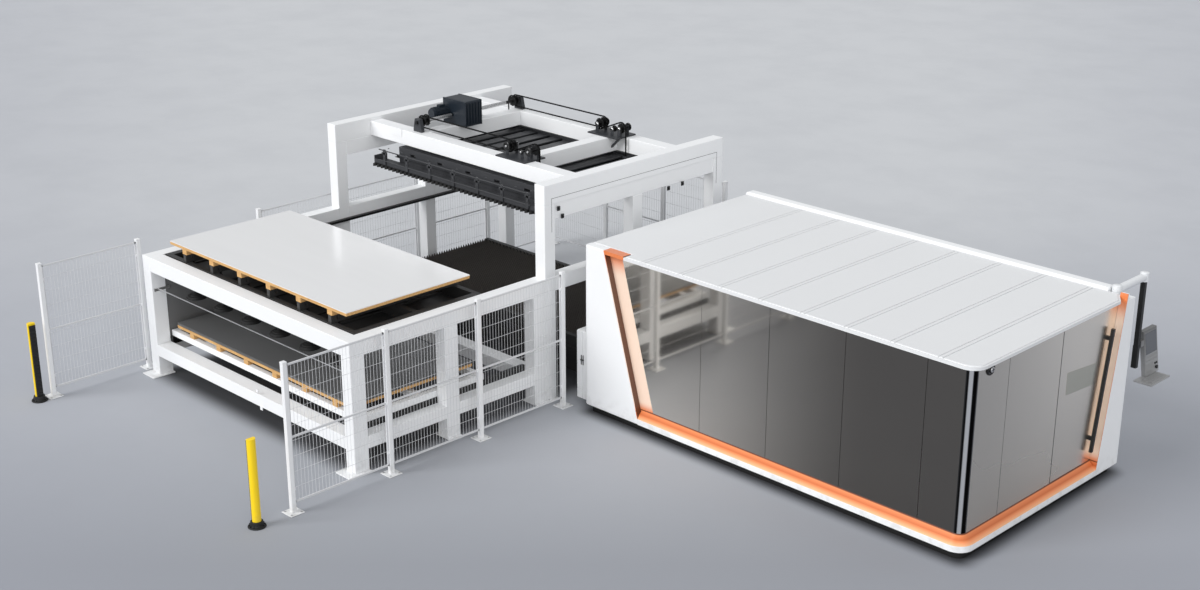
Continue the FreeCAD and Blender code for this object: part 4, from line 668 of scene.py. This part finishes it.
def console_keyboard():
    """The keyboard on its tray, and the caps over the arm's two pivots."""
    mesh = bmesh.new()
    deck = SCREEN_FOOT + 0.01
    block(mesh, (2.85, 2.43, SCREEN_FOOT), (2.99, 2.8, deck))
    for order in range(5):
        x = 2.858 + order * 0.0262
        row(mesh, 14, (0, 0.0255, 0), (x, 2.437, deck), (x + 0.022, 2.4585, deck + 0.006))
    piece("console_keyboard", mesh, "console_grey", "screen", bevel=0.0012)
    arm = box_of("console_arm")
    mesh = bmesh.new()
    for y in (1.62, 2.29):
        turned(mesh, [(0, 0), (0.05, 0), (0.05, 0.004), (0.044, 0.008), (0, 0.008)],
               ((arm.left + arm.right) / 2, y, arm.top), "z", 28)
    piece("arm_caps", mesh, "console_white", "arm", smooth=True)


def cabinet_fittings():
    """Door handles, hinges and vents on the low cabinet."""
    cabinet = box_of("side_cabinet")
    face, middle = cabinet.front, (cabinet.left + cabinet.right) / 2
    mesh = bmesh.new()
    for x in (middle - 0.017, middle + 0.017):
        block(mesh, (x - 0.006, face - 0.008, 0.62), (x + 0.006, face, 0.76))
        bar(mesh, (x, face, 0.69), 0.012, 0.014, "-y", 20)
    for x in (cabinet.left + 0.003, cabinet.right - 0.003):
        for height in (0.25, 0.61, 0.97):
            bar(mesh, (x, face, height), 0.06, 0.006, "z", 12)
    piece("cabinet_handles", mesh, "handle_black", bevel=0.001)
    mesh = bmesh.new()
    for x in (middle - 0.055, middle + 0.055):
        row(mesh, 6, (0, 0, 0.016), (x - 0.035, face - 0.003, 0.2), (x + 0.035, face, 0.206))
    row(mesh, 9, (0, 0, -0.02), (cabinet.left - 0.004, -1.56, 0.9), (cabinet.left, -1.3, 0.909))
    piece("cabinet_vents", mesh, "cabinet_white", bevel=0.001)


def service_doors():
    """The rear wall's five service doors, with louvres and latches."""
    wall = box_of("rear_wall").back
    face = wall + 0.006
    proud = face + 0.005
    doors, louvres, latches = bmesh.new(), bmesh.new(), bmesh.new()
    for order in range(5):
        start = -2.78 + order * 1.12
        block(doors, (start, wall, 0.2), (start + 1.08, face, 2.2))
        for foot in (0.34, 1.7) if order % 2 else (0.34,):
            low, high = (start + 0.28, face, foot), (start + 0.8, proud, foot + 0.012)
            row(louvres, 14, (0, 0, 0.026), low, high)
        for height in (1.05, 1.35):
            x = start + 0.07
            bar(latches, (x, face, height), 0.006, 0.022, "y", 24)
            block(latches, (x - 0.006, proud, height - 0.02), (x + 0.006, proud + 0.005, height + 0.02))
    piece("service_doors", doors, "shell_white", bevel=0.0025)
    piece("service_louvres", louvres, "roof_white", bevel=0.0015)
    piece("service_latches", latches, "handle_black", bevel=0.001)


def loading_mouth():
    """The trim round the table's opening in the left wall, and the strip curtain inside it."""
    wall = box_of("left_wall").left
    face = wall - 0.005
    front, back, foot, top, border = -1.18, 1.02, 0.48, 1.05, 0.04
    trims = bmesh.new()
    for low, high in (((front - border, foot - border), (back + border, foot)),
                      ((front - border, top), (back + border, top + border)),
                      ((front - border, foot), (front, top)), ((back, foot), (back + border, top))):
        block(trims, (face, *low), (wall, *high))
    for order in range(14):
        bolt(trims, (face, -1.17 + order * 0.168, top + border / 2), "-x", 0.006)
    piece("mouth_trim", trims, "handle_black", bevel=0.001)
    strips = bmesh.new()
    thickness = 0.003
    for order in range(44):
        x, y = -2.99 + thickness * (order % 2), front + order * 0.05
        block(strips, (x, y, 0.86), (x + thickness, y + 0.052, top))
    piece("mouth_curtain", strips, "foot_black", "cell")


def cutting_gear():
    """The bellows on the cutting bridge and the collar on its head."""
    bridge = box_of("cutting_bridge")
    mesh = bmesh.new()
    y = bridge.front + 0.06
    row(mesh, 26, (0, 0.094, 0), (bridge.left + 0.095, y, bridge.top),
        (bridge.right - 0.095, y + 0.086, bridge.top + 0.006))
    piece("bridge_bellows", mesh, "head_black", "bridge", bevel=0.001)
    mesh = bmesh.new()
    turned(mesh, [(0, 0), (0.03, 0), (0.034, 0.01), (0.034, 0.06), (0.03, 0.066), (0, 0.066)],
           (1.85, -0.7, 1.455), "z", 24)
    piece("head_collar", mesh, "button_silver", "head", smooth=True)


# -------------------- exchange table

TEETH = 38
SLATS = 59
SLAT_SPAN = 4.724
SLAT_FOOT = 0.6
TOOTH_ROOT = 0.672


def toothed_slats():
    """The table's sharp-toothed slats, each a thin plate with a row of points, and their holders."""
    slats = box_of("table_slats")
    steps = TEETH * 2
    mesh = bmesh.new()
    for vert in bmesh.ops.create_grid(mesh, x_segments=steps, y_segments=1, size=0.5)["verts"]:
        order = round((vert.co.x + 0.5) * steps)
        height = SLAT_FOOT if vert.co.y < 0 else (slats.top if order % 2 else TOOTH_ROOT)
        vert.co = (slats.left + 0.002, slats.front + (slats.back - slats.front) * order / steps, height)
    mesh.normal_update()
    bmesh.ops.solidify(mesh, geom=mesh.faces, thickness=0.004)
    slat = mesh.verts[:] + mesh.edges[:] + mesh.faces[:]
    for order in range(1, SLATS):
        copy = bmesh.ops.duplicate(mesh, geom=slat)
        bmesh.ops.translate(mesh, verts=verts_in(copy), vec=(order * SLAT_SPAN / (SLATS - 1), 0, 0))
    piece("toothed_slats", mesh, "slat_steel", "exchange_table", replaces="table_slats")
    mesh = bmesh.new()
    x = slats.left + 0.01
    for y in (slats.front - 0.015, slats.back + 0.015):
        row(mesh, SLATS + 1, (0.0797, 0, 0), (x - 0.006, y - 0.012, 0.66), (x + 0.006, y + 0.012, 0.69))
    piece("slat_holders", mesh, "table_black", "exchange_table")


# -------------------- gantry and rack

def foot_plates(node):
    """The corners of a node's plates that lie on the floor."""
    mesh = bmesh.new()
    mesh.from_mesh(NODES[node].data)
    plates = []
    for faces in solids_of(mesh):
        sides = list(zip(*(vert.co for face in faces for vert in face.verts)))
        low, high = Vector([min(side) for side in sides]), Vector([max(side) for side in sides])
        if low.z < 0.001 and high.z < 0.03:
            plates.append((low, high))
    mesh.free()
    return plates


def foot_bolts():
    """Anchor bolts in the corners of the foot plates of the gantry and the fence."""
    inset = 0.03
    mesh = bmesh.new()
    for node in ("gantry_posts", "fence_posts"):
        for low, high in foot_plates(node):
            for x in (low.x + inset, high.x - inset):
                for y in (low.y + inset, high.y - inset):
                    bolt(mesh, (x, y, high.z), "z", 0.009)
    piece("foot_bolts", mesh, "rod_steel")


SENSOR_PLACES = ((-1.6, 2.71), (-1.53, 2.59), (0.54, 2.54), (0.83, 2.55))
FRAME_NUBS = (((-5.683, -5.112, 0.5), (-5.639, -5.096, 0.54)),
              ((-5.62, -5.108, 0.265), (-5.57, -5.096, 0.315)),
              ((-7.61, -1.2, 2.9), (-7.37, -1.188, 3.02)))


def portal_fittings():
    """Small sensors on the gantry's right portal, nubs on the frame, and the portal's fine seams."""
    face = box_of("gantry_beams").right
    mesh = bmesh.new()
    for y, height in SENSOR_PLACES:
        block(mesh, (face, y - 0.022, height - 0.03), (face + 0.02, y + 0.022, height + 0.03))
        bar(mesh, (face + 0.02, y, height), 0.012, 0.012, "x", 16)
    piece("sensors", mesh, "handle_black", "cell", bevel=0.002)
    mesh = bmesh.new()
    for low, high in FRAME_NUBS:
        block(mesh, low, high)
    piece("frame_nubs", mesh, "frame_white", bevel=0.003)
    mesh = bmesh.new()
    front, back, level, width = -1.72, 1.57, 2.862, 0.005
    block(mesh, (face, front, level), (face + 0.001, back, level + width))
    for y in (front, back - width):
        block(mesh, (face, y, 2.4), (face + 0.001, y + width, level))
    piece("portal_seams", mesh, "pane_edge", "cell")


def rail_rack():
    """The toothed rack along the left high rail, for the upper trolley's drive."""
    foot, top = 1.57, 1.6
    left, root, tip = -8.07, -8.062, -8.056
    mesh = bmesh.new()
    block(mesh, (left, -4.87, foot), (root, 1.5, top))
    row(mesh, 127, (0, 0.05, 0), (root, -4.86, foot + 0.002), (tip, -4.835, top - 0.002))
    piece("rail_teeth", mesh, "rail_dark")


def dark_trays():
    """The upper trolley's drip tray and the rack's closed left end, each a ribbed sheet."""
    mesh = bmesh.new()
    foot, sheet = 1.6, 1.606
    block(mesh, (-8.06, -4.85, foot), (-3.86, -2.8, sheet))
    row(mesh, 9, (0.48, 0, 0), (-7.9, -4.8, sheet), (-7.87, -2.84, 1.63))
    piece("drip_tray", mesh, "trolley_dark", "upper_level", bevel=0.001)
    mesh = bmesh.new()
    face = -8.152
    block(mesh, (face, -5.0, 0.5), (face + 0.006, -1.95, 1.46))
    row(mesh, 5, (0, 0.56, 0), (face - 0.006, -4.4, 0.52), (face, -4.37, 1.44))
    piece("end_guard", mesh, "guard_grey", "cell", bevel=0.001)


# -------------------- chain hoist

AXLE_HEIGHT = 3.15
SHAFT = (-7.105, AXLE_HEIGHT)
LOOP = (-5.196, AXLE_HEIGHT)
FALL = (-4.749, AXLE_HEIGHT)
GUIDE = (-4.89, 3.12335)
CHAIN_RADIUS = 0.0865
LOOP_ROWS = (-1.006, 0.86)
FALL_ROWS = (-0.926, 0.78)
FALL_LINES = (-7.1915, -4.6625)
FALL_FOOT = 2.74
CROSSING = 112.77
DRIVE_PITCH = 0.0254
FALL_PITCH = 0.0127
LINK_TALL = 0.022
LINK_THICK = 0.002
PIN_RADIUS = 0.0055
PIN_LENGTH = 0.0135


def round_wheel(centre, first, last):
    """Points on a wheel's pitch circle, between two angles from +X towards +Z."""
    count = max(2, round(abs(last - first) / 6))
    angles = [radians(first + (last - first) * order / count) for order in range(count + 1)]
    return [Vector((centre[0] + CHAIN_RADIUS * cos(turn), centre[1] + CHAIN_RADIUS * sin(turn)))
            for turn in angles]


def links(mesh, points, plane, pitch):
    """Roller chain links along a path in one upright plane: outer and inner pairs in turn."""
    across = AXIS_TURNS["-y"]
    scale = Matrix.Diagonal((pitch * 1.42, LINK_THICK, LINK_TALL, 1))
    left, order = 0.0, 0
    for start, end in zip(points, points[1:]):
        along = end - start
        length = along.length
        turn = Matrix.Rotation(-atan2(along.y, along.x), 4, "Y")
        while left < length:
            place = start + along * (left / length)
            centre = Matrix.Translation((place.x, plane, place.y)) @ turn
            out = 0.0056 if order % 2 else 0.0034
            for side in (-out, out):
                rod(mesh, centre @ (Matrix.Translation((0, side, 0)) @ scale) @ across, 0.5, 1, 8)
            pin = centre @ Matrix.Translation((-pitch / 2, 0, 0)) @ across
            rod(mesh, pin, PIN_RADIUS, PIN_LENGTH, 6)
            left += pitch
            order += 1
        left -= length


def hoist_chains():
    """Link chains on the two drive loops, the crossing strands and the four falls."""
    mesh = bmesh.new()
    for plane in LOOP_ROWS:
        path = round_wheel(SHAFT, 90, 270) + round_wheel(LOOP, -90, 90)
        links(mesh, path + path[:1], plane, DRIVE_PITCH)
    for plane in FALL_ROWS:
        crossing = round_wheel(FALL, 0, CROSSING) + round_wheel(LOOP, 180 + CROSSING, 180)
        links(mesh, crossing, plane, DRIVE_PITCH)
        links(mesh, round_wheel(SHAFT, 60, 180), plane, DRIVE_PITCH)
    piece("drive_chains", mesh, "chain_dark", replaces="loop_chains")
    for number, (x, y) in enumerate((x, y) for x in FALL_LINES for y in FALL_ROWS):
        mesh = bmesh.new()
        links(mesh, [Vector((x, AXLE_HEIGHT)), Vector((x, FALL_FOOT + 0.01))], y, FALL_PITCH)
        replaced = None if number else "fall_chains"
        item = piece(f"fall_chain_{number}", mesh, "chain_dark", None, replaces=replaced)
        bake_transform(item)


def lift_fittings():
    """Clamps, rails and bolts on the lift frame's long sides, and its grating."""
    lift = box_of("lift_frame")
    mesh = bmesh.new()
    for y, out, axis in ((lift.front, -0.02, "-y"), (lift.back, 0.02, "y")):
        near, far = sorted((y, y + out))
        for order in range(7):
            x = -7.5 + order * 0.52
            block(mesh, (x, near, 2.5), (x + 0.05, far, 2.735))
            block(mesh, (x - 0.03, near, 2.66), (x + 0.08, far, 2.69))
            bolt(mesh, (x + 0.025, y + out, 2.6), axis, 0.008)
        for height in (2.56, 2.72):
            bar(mesh, (-7.6, y + out * 0.6, height), 3.3, 0.009, "x")
    for order in range(11):
        for y in (-1.39, 1.24):
            bolt(mesh, (-7.45 + order * 0.31, y, lift.top), "z", 0.009)
    piece("lift_clamps", mesh, "lift_dark", "lift", bevel=0.0015)
    mesh = bmesh.new()
    foot, sheet = 2.56, 2.566
    block(mesh, (-7.55, -1.2, foot), (-4.25, 1.05, sheet))
    row(mesh, 60, (0.0546, 0, 0), (-7.53, -1.18, sheet), (-7.512, 1.03, 2.59))
    piece("lift_grating", mesh, "grating_black", "lift")


PULLEY = ((0.016, 0), (0.052, 0), (0.058, 0.002), (0.052, 0.006), (0.052, 0.012), (0.058, 0.016),
          (0.052, 0.018), (0.04, 0.018), (0.036, 0.013), (0.016, 0.013), (0.016, 0))
AXLE_NUT = ((0, 0.01), (0.017, 0.01), (0.017, 0.024), (0.012, 0.028), (0, 0.028))
BEARING = ((0, 0), (0.036, 0), (0.036, 0.005), (0.026, 0.007), (0.024, 0.014), (0.012, 0.016), (0, 0.016))
BEARING_SCALE = 0.85
DRIVE_CAP = ((0, 0), (0.088, 0), (0.088, 0.012), (0.07, 0.016), (0.066, 0.03), (0.03, 0.034), (0, 0.034))


def station_wheels():
    """The outboard pulleys on the stations' axles, with bright nuts."""
    for side, face, axis in (("front", -1.057, "-y"), ("rear", 0.911, "y")):
        for kind, (x, height), scale in (("loop", LOOP, 1.0), ("guide", GUIDE, 0.6), ("fall", FALL, 1.0)):
            pulley = [(radius * scale, out) for radius, out in PULLEY]
            for name, profile, sides, finish in (("pulley", pulley, 28, "wheel_steel"),
                                                 ("nut", AXLE_NUT, 16, "button_silver")):
                mesh = bmesh.new()
                turned(mesh, profile, (x, face, height), axis, sides)
                piece(f"{side}_{kind}_{name}", mesh, finish, f"{side}_{kind}_axle")


def bearing_flanges():
    """Bearing flanges inside the stations' plates, and the shaft's two sleeves."""
    profile = [(radius * BEARING_SCALE, out * BEARING_SCALE) for radius, out in BEARING]
    mesh = bmesh.new()
    for x, height in (LOOP, FALL, GUIDE):
        for y, axis in ((-0.867, "y"), (0.721, "-y")):
            turned(mesh, profile, (x, y, height), axis)
    piece("bearing_flanges", mesh, "button_silver", "cell", smooth=True)
    mesh = bmesh.new()
    for start, length in ((-0.9, 0.44), (-0.09, 0.72)):
        sleeve = [(0, 0), (0.029, 0), (0.029, length), (0, length)]
        turned(mesh, sleeve, (SHAFT[0], start, SHAFT[1]), "y", 28)
    piece("shaft_sleeves", mesh, "rod_steel", "shaft", smooth=True, crease=40)


def drive_covers():
    """The gearbox's flanges, ribs, round cover and bolts, and the motor's fins and terminal box."""
    gearbox, motor = box_of("hoist_gearbox"), box_of("hoist_motor")
    centre = (motor.foot + motor.top) / 2
    mesh = bmesh.new()
    turned(mesh, DRIVE_CAP, (SHAFT[0], gearbox.back, centre), "y", 36)
    for order in range(8):
        turn = radians(45 * order)
        place = (SHAFT[0] + 0.078 * cos(turn), gearbox.back + 0.012, centre + 0.078 * sin(turn))
        bolt(mesh, place, "y", 0.006)
    motor_middle = (motor.left + motor.right) / 2
    fin = [(0.06, 0), (0.0878, 0), (0.0878, 0.006), (0.06, 0.006), (0.06, 0)]
    for order in range(9):
        turned(mesh, fin, (motor_middle, motor.front + 0.03 + order * 0.026, centre), "y", 28)
    block(mesh, (motor_middle - 0.035, -0.6, 3.27), (motor_middle + 0.035, -0.5, 3.31))
    for y in (gearbox.front - 0.004, gearbox.back - 0.012):
        block(mesh, (gearbox.left - 0.008, y, gearbox.foot + 0.002),
              (gearbox.right + 0.008, y + 0.016, gearbox.top - 0.001))
    row(mesh, 5, (0, 0.056, 0), (gearbox.right, -0.4, gearbox.foot + 0.03),
        (gearbox.right + 0.014, -0.388, gearbox.top - 0.03))
    for x in (gearbox.left + 0.02, gearbox.right - 0.02):
        for height in (gearbox.foot + 0.03, gearbox.top - 0.02):
            bolt(mesh, (x, gearbox.front - 0.004, height), "-y", 0.008)
    piece("drive_covers", mesh, "drive_slate", bevel=0.0015)


# -------------------- trolleys and pallets

BEARER_PLACES = [-5.9575 + 0.66 * (order - 2.5) for order in range(6)]
CUP = ((0, 1.302), (0.03, 1.3), (0.034, 1.292), (0.06, 1.288), (0.068, 1.278), (0.095, 1.274),
       (0.102, 1.262), (0.122, 1.256), (0.128, 1.242), (0.14, 1.226), (0.138, 1.22), (0.118, 1.22),
       (0.09, 1.236), (0, 1.24))
CUP_STEM = ((0, 1.295), (0.026, 1.298), (0.026, 1.33), (0.016, 1.336), (0.016, 1.7), (0.03, 1.705),
            (0.03, 1.72), (0.016, 1.726), (0.016, 1.769), (0, 1.769))


def suction_cups():
    """Ribbed rubber cups on their stems."""
    cups = box_of("trolley_cups")
    mesh = bmesh.new()
    for x in BEARER_PLACES:
        for profile, sides in ((CUP, 28), (CUP_STEM, 20)):
            turned(mesh, profile, (x, (cups.front + cups.back) / 2, 0), "z", sides)
    piece("suction_cups", mesh, "cup_black", "upper_level", replaces="trolley_cups", smooth=True,
          crease=50)


def pallet(name, node):
    """A pine pallet: bearers, two long boards across them, close deck boards and edge rails."""
    box = box_of(node)
    left, right, front, back = box.left + 0.0005, box.right - 0.0005, box.front, box.back
    bearer, top, rail = box.foot + 0.07, box.foot + 0.11, 0.04
    mesh = bmesh.new()
    for x in BEARER_PLACES:
        block(mesh, (x - 0.05, front + 0.004, box.foot), (x + 0.05, back - 0.004, bearer))
    for y in (front + 0.66, front + 1.3):
        block(mesh, (left + 0.03, y, bearer), (right - 0.03, y + 0.05, bearer + 0.018))
    boards, gap = 30, 0.002
    wide = (right - left - rail * 2) / boards
    row(mesh, boards, (wide, 0, 0), (left + rail + gap, front + rail + gap, bearer + 0.018),
        (left + rail + wide - gap, back - rail - gap, top))
    for y in (front, back - rail):
        block(mesh, (left, y, bearer + 0.021), (right, y + rail, top))
        block(mesh, (left + gap, y + gap, bearer), (right - gap, y + rail - gap, bearer + 0.021))
    for x in (left, right - rail):
        block(mesh, (x, front + rail, bearer), (x + rail, back - rail, top))
    piece(name, mesh, "pallet_wood", BODY_OF[node], replaces=node, bevel=0.002)


def sheet_stack():
    """The lower stack: ten sheets, each a little out of line with the next."""
    stack = box_of("lower_sheet")
    drift, inset_x, inset_y = 0.0035, 0.0045, 0.004
    mesh = bmesh.new()
    for order in range(10):
        x, y = drift * sin(order * 2.4), drift * cos(order * 1.7)
        foot = stack.foot + order * 0.004
        block(mesh, (stack.left + inset_x + x, stack.front + inset_y + y, foot),
              (stack.right - inset_x + x, stack.back - inset_y + y, foot + 0.0034))
    # Painted shade: the stack's sheet_dark finish is the upper sheets' steel made darker for the shade of
    # the upper level.
    piece("sheet_stack", mesh, "sheet_dark", "lower_level", replaces="lower_sheet")


# -------------------- light posts

FOOT_RADIUS = 0.11
POST_FOOT = ((0, 0), (FOOT_RADIUS, 0), (FOOT_RADIUS, 0.006), (0.106, 0.012), (0.084, 0.018),
             (0.078, 0.03), (0.076, 0.07), (0.07, 0.075), (0, 0.075))


def light_feet():
    """Flared, ribbed feet and the segmented lens bars of the two light posts."""
    feet = box_of("light_post_feet")
    y = feet.front + FOOT_RADIUS
    bases, lenses = bmesh.new(), bmesh.new()
    for x, side in ((feet.left + FOOT_RADIUS, 1), (feet.right - FOOT_RADIUS, -1)):
        turned(bases, POST_FOOT, (x, y, 0), "z", 36)
        for order in range(12):
            turn = Matrix.Rotation(radians(30 * order), 4, "Z")
            rib = block(bases, (0.07, -0.004, 0.01), (0.1, 0.004, 0.03))
            bmesh.ops.transform(bases, matrix=Matrix.Translation((x, y, 0)) @ turn, verts=rib)
        face = x + side * 0.01925
        near, far = sorted((face, face + side * 0.022))
        row(lenses, 18, (0, 0, 0.0574), (near, y - 0.044, 0.072), (far, y + 0.044, 0.1272))
    piece("light_feet", bases, "foot_black", replaces="light_post_feet")
    piece("light_lenses", lenses, "foot_black", bevel=0.003)


# -------------------- guard fence

WIRE = 0.0026
UPRIGHT_PITCH = 0.05
LEVEL_PITCH = 0.2
PANEL_FOOT = 0.12
PANEL_TOP = 1.895
PANEL_MIDDLE = 0.967
POST_GAP = 0.03
RAIL_TALL = 0.022
RAIL_WIDE = 0.02
RAIL_HALF_DEPTH = 0.009
POST_REACH = 0.07


def post_middles():
    """The middle of each fence post, from the tops of the posts' own solids."""
    points = {(round(vert.co.x, 3), round(vert.co.y, 3))
              for vert in NODES["fence_posts"].data.vertices if vert.co.z > PANEL_TOP + 0.005}
    posts = []
    for x, y in sorted(points):
        for post in posts:
            if abs(post[0][0] - x) < POST_REACH and abs(post[0][1] - y) < POST_REACH:
                post.append((x, y))
                break
        else:
            posts.append([(x, y)])
    return [tuple(sum(values) / len(post) for values in zip(*post)) for post in posts]


def mesh_panel(mesh, start, end):
    """Welded mesh between two posts: a rail frame, upright wires and level wires."""
    start, end = Vector((*start, 0)), Vector((*end, 0))
    along = (end - start).normalized()
    axis = "x" if abs(along.x) > 0.5 else "y"
    across = Vector((0, 1, 0)) if axis == "x" else Vector((1, 0, 0))
    start, end = start + along * POST_GAP, end - along * POST_GAP
    length = (end - start).length

    def strip(low, high, foot, top):
        near = start + along * low - across * RAIL_HALF_DEPTH
        far = start + along * high + across * RAIL_HALF_DEPTH
        block(mesh, (*near.xy, foot), (*far.xy, top))

    for foot in (PANEL_FOOT, PANEL_MIDDLE - RAIL_TALL / 2, PANEL_TOP - RAIL_TALL):
        strip(0, length, foot, foot + RAIL_TALL)
    for low in (0, length - RAIL_WIDE):
        strip(low, low + RAIL_WIDE, PANEL_FOOT, PANEL_TOP)
    opening = length - RAIL_WIDE * 2
    count = round(opening / UPRIGHT_PITCH)
    for order in range(1, count):
        place = start + along * (RAIL_WIDE + opening / count * order)
        bar(mesh, (place.x, place.y, PANEL_FOOT + 0.01), PANEL_TOP - PANEL_FOOT - 0.02, WIRE, "z", 4)
    place = start + along * 0.01 + across * WIRE * 1.6
    level = PANEL_FOOT + LEVEL_PITCH
    while level < PANEL_TOP - 0.05:
        bar(mesh, (place.x, place.y, level), length - 0.02, WIRE, axis, 4)
        level += LEVEL_PITCH


def guard_fence():
    """Fine mesh panels in place of the coarse solids, with caps and clamps on the posts."""
    mesh, fittings = bmesh.new(), bmesh.new()
    posts = post_middles()
    for first in posts:
        for second in posts:
            gap_x, gap_y = second[0] - first[0], second[1] - first[1]
            runs_back, runs_right = abs(gap_x) < 0.02, abs(gap_y) < 0.02
            if not (runs_back and 1.2 < gap_y < 1.9 or runs_right and 1.2 < gap_x < 1.4):
                continue
            mesh_panel(mesh, first, second)
            for (x, y), out in ((first, 0.035), (second, -0.035)):
                x, y = (x, y + out) if runs_back else (x + out, y)
                for foot in (0.28, PANEL_MIDDLE - 0.02, 1.68):
                    block(fittings, (x - 0.014, y - 0.014, foot), (x + 0.014, y + 0.014, foot + 0.04))
    for x, y in posts:
        block(fittings, (x - 0.031, y - 0.031, 1.915), (x + 0.031, y + 0.031, 1.934))
    piece("fence_mesh", mesh, "wire_grey", "cell", "fence_panels")
    piece("fence_caps", fittings, "fence_white", bevel=0.002)


# -------------------- floor and light

DIAGONAL = 0.7071
FLOOR_HALF = 140
MACHINE_GROUND = ((-2.9, -1.6), (2.9, 1.6))
RACK_GROUND = ((-8.1, -4.9), (-3.8, 1.5))


def studio_floor():
    """A pale concrete floor, with painted shade darker toward the front and the sides, and soft painted
    shade under the machines.
    """
    finish = Finish("floor", shade(190, 193, 199), 0.8)
    along, across, _ = finish.axes()
    depth = (across - along) * DIAGONAL
    side = ((along + across) * DIAGONAL + 3.1).size() / (depth.most(-6.0) * 0.32 + 7.6)
    mottle = finish.cloud(0.6, detail=7.0, roughness=0.62)
    # Painted shade: the floor darker toward the front and toward the sides.
    tone = finish.blend((depth + 3.3) * 0.24, shade(150, 153, 160), shade(178, 181, 187))
    tone = finish.blend(depth.between(1.0, 11.0), tone, shade(198, 200, 203))
    tone = finish.blend(side.between(0.5, 1.15) * 0.35, tone, shade(158, 161, 172))
    tone = finish.blend(mottle.between(0.35, 0.72) * 0.13, tone, shade(150, 153, 160))

    def under(ground, soft):
        """1 on a stretch of ground, falling away to 0 round it."""
        outs = [((point - (low + high) / 2).size() - (high - low) / 2).most(0.0)
                for point, low, high in zip((along, across), *ground)]
        return 1.0 - (outs[0] * outs[0] + outs[1] * outs[1]).maths("POWER", 0.5).between(0.0, soft)

    # Painted shadow on the ground under the machine and the rack.
    dark = under(MACHINE_GROUND, 0.3).most(under(RACK_GROUND, 0.4))
    finish.coat(finish.blend(dark * 0.9, tone, shade(34, 35, 38)), 0.74 + mottle * 0.12)
    mesh = bmesh.new()
    bmesh.ops.create_grid(mesh, x_segments=1, y_segments=1, size=FLOOR_HALF)
    bmesh.ops.translate(mesh, verts=mesh.verts, vec=(0, 0, -0.002))
    shaped("floor", mesh, "floor")


def sun(name, toward, strength, spread):
    """A broad, soft distant lamp that stands in a direction."""
    lamp = bpy.data.lights.new(name, "SUN")
    lamp.energy = strength * pi
    lamp.angle = radians(spread)
    placed(name, lamp).rotation_euler = Vector(toward).to_track_quat("Z", "Y").to_euler()


def studio_light():
    """Soft light from the front left and above, a weaker one from the right, and an even sky."""
    world = bpy.data.worlds.new("studio")
    world.use_nodes = True
    background = world.node_tree.nodes["Background"]
    background.inputs["Color"].default_value = (0.95, 0.97, 1.0, 1.0)
    background.inputs["Strength"].default_value = 0.45
    bpy.context.scene.world = world
    sun("front_light", (-0.3, -0.8, 0.5), 0.62, 30)
    sun("top_light", (0.0, 0.0, 1.0), 0.16, 60)
    sun("side_light", (0.75, -0.6, 0.3), 0.44, 60)


def dress_nodes():
    """Give every solid the finish of its slot."""
    for name, item in NODES.items():
        for place in item.material_slots:
            place.material = FINISHES[SLOT_OF[name]].material


EASED = {
    "gantry_posts": 0.006, "gantry_beams": 0.006, "gantry_roof_beams": 0.006, "rack_posts": 0.006,
    "rack_beams": 0.006, "lower_trolley": 0.006, "upper_trolley": 0.004, "table_frame": 0.004,
    "table_rails": 0.004, "lift_frame": 0.003, "left_cover": 0.02, "end_cover": 0.012, "lower_lip": 0.008,
    "side_cabinet": 0.006, "door_handle": 0.012, "hoist_gearbox": 0.008, "hoist_motor": 0.002,
    "machine_bed": 0.006, "cutting_bridge": 0.01, "fence_posts": 0.004, "console_head": 0.006,
    "light_posts": 0.002, "rear_rim": 0.008, "hoist_supports": 0.002, "trolley_rails": 0.004,
}


camera()
studio_light()
make_finishes()
dress_nodes()
for node, width in EASED.items():
    eased(node, width)
round_corner()
door_window()
press_button()
console_screen()
console_keyboard()
cabinet_fittings()
service_doors()
loading_mouth()
cutting_gear()
toothed_slats()
foot_bolts()
portal_fittings()
rail_rack()
hoist_chains()
lift_fittings()
station_wheels()
dark_trays()
bearing_flanges()
drive_covers()
suction_cups()
pallet("upper_boards", "upper_pallet")
pallet("lower_boards", "lower_pallet")
sheet_stack()
light_feet()
guard_fence()
studio_floor()

scene = bpy.context.scene
scene.view_settings.view_transform = "Standard"
